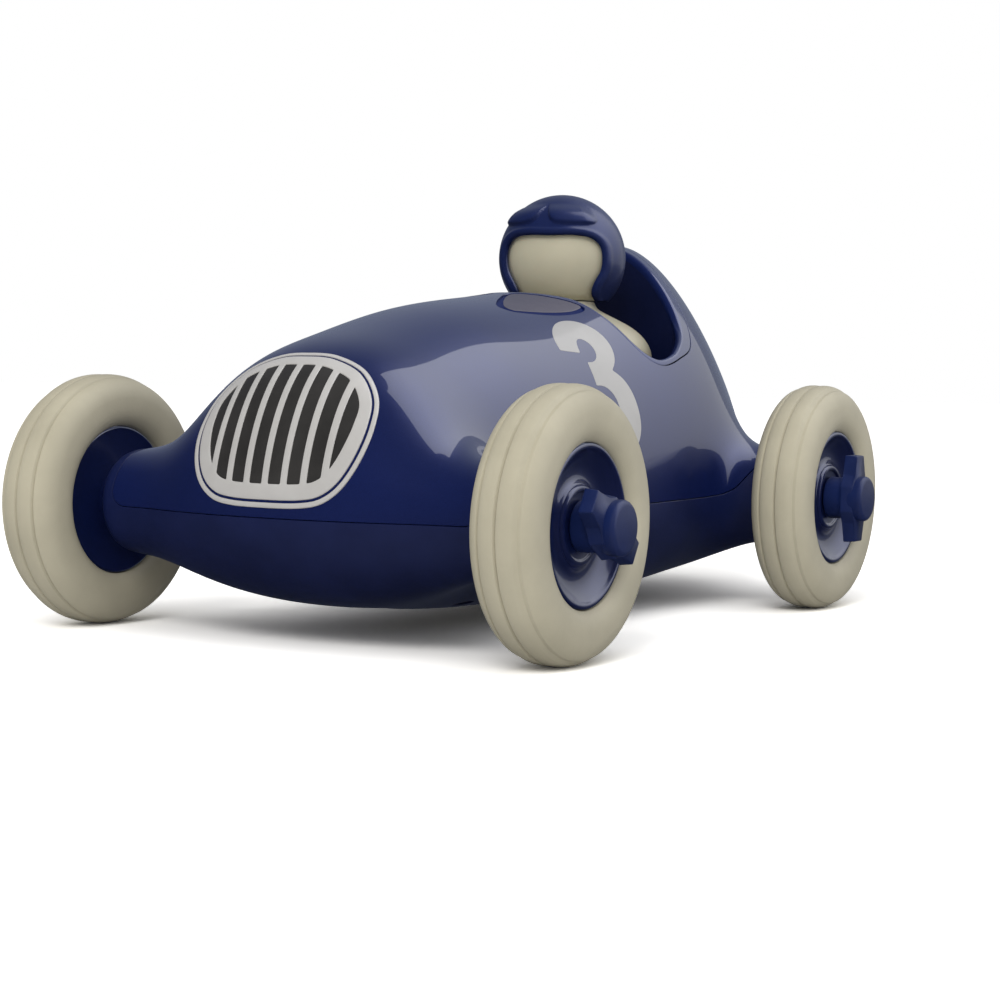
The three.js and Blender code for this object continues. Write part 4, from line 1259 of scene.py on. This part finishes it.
def floor_look():
    """White sweep that burns out like an overexposed studio floor, but bounces an ordinary amount."""
    look, tree = bare_look("studio_floor_white")
    grain = noise(tree, 60, 3.0)
    shades = []
    for low, high in (FLOOR_BOUNCED, FLOOR_SEEN):
        tone = ramp(tree, grain.outputs["Fac"], [(0.3, (low, low, low)), (0.7, (high, high, high))])
        matt = add(tree, "BsdfDiffuse")
        tree.links.new(tone, matt.inputs["Color"])
        shades.append(matt.outputs[0])
    paths = add(tree, "LightPath")
    mixed = shader_mix(tree, paths.outputs["Is Camera Ray"], *shades)
    tree.links.new(mixed, tree.nodes["Material Output"].inputs["Surface"])
    return look


def softbox():
    """Large curved diffuser on the car's left, behind it, seen only in reflections; brighter at its top."""
    around, up = 24, 20
    verts = []
    for e in np.radians(np.linspace(*PANEL_UP, up + 1)):
        for a in np.radians(np.linspace(*PANEL_AROUND, around + 1)):
            verts.append([PANEL_RADIUS * math.cos(e) * math.cos(a), PANEL_RADIUS * math.cos(e) * math.sin(a),
                          PANEL_RADIUS * math.sin(e)])
    look, tree = bare_look("softbox_cloth")
    place = add(tree, "TexCoord")
    split = add(tree, "SeparateXYZ")
    tree.links.new(place.outputs["Object"], split.inputs[0])
    both = add(tree, "Math")
    both.operation = "MULTIPLY"
    tree.links.new(ranged(tree, split.outputs["Z"], 1.1, 2.3, 0.15, 1.1), both.inputs[0])
    tree.links.new(ranged(tree, split.outputs["X"], 0.5, 1.0, -1.5, -0.7), both.inputs[1])
    glow = add(tree, "Emission", Color=rgba(0.92, 0.94, 1.0))
    tree.links.new(both.outputs[0], glow.inputs["Strength"])
    tree.links.new(glow.outputs[0], tree.nodes["Material Output"].inputs["Surface"])
    panel = make("softbox_panel", verts, grid_faces(up + 1, around + 1, False), look)
    panel.visible_camera = panel.visible_diffuse = panel.visible_shadow = False


def studio():
    corners = np.array([[-1, -1, 0], [1, -1, 0], [1, 1, 0], [-1, 1, 0]]) * FLOOR_HALF / MM
    floor = make("studio_floor", corners, [(0, 1, 2, 3)], floor_look())
    floor.visible_glossy = False
    softbox()

    world = bpy.data.worlds.new("studio")
    bpy.context.scene.world = world
    world.use_nodes = True
    tree = world.node_tree
    white = tree.nodes["Background"]
    white.inputs["Color"].default_value = rgba(1, 1, 1)
    soft = add(tree, "Background", Color=rgba(1.0, 0.99, 0.975), Strength=ROOM_STRENGTH)
    sky = add(tree, "TexCoord")
    facing = add(tree, "VectorMath")
    facing.operation = "DOT_PRODUCT"
    facing.inputs[1].default_value = ROOM_BRIGHT_SIDE.normalized()
    tree.links.new(sky.outputs["Generated"], facing.inputs[0])
    mirrored_room = add(tree, "Background")
    tree.links.new(ramp(tree, facing.outputs["Value"], ROOM_MIRRORED), mirrored_room.inputs["Color"])
    paths = add(tree, "LightPath")
    lit = shader_mix(tree, paths.outputs["Is Glossy Ray"], soft.outputs[0], mirrored_room.outputs[0])
    seen = shader_mix(tree, paths.outputs["Is Camera Ray"], lit, white.outputs[0])
    tree.links.new(seen, tree.nodes["World Output"].inputs["Surface"])

    area_light("overhead", (0.36, 0.52, 1.15), (0, 0, 0.03), 1.1, 3.5, (1, 1, 1))
    area_light("front_fill", (1.0, 0.72, 0.60), (0, 0, 0.05), 0.8, 3.0, WARM)
    key_light()


camera()
studio()
bpy.context.scene.view_settings.view_transform = "Standard"
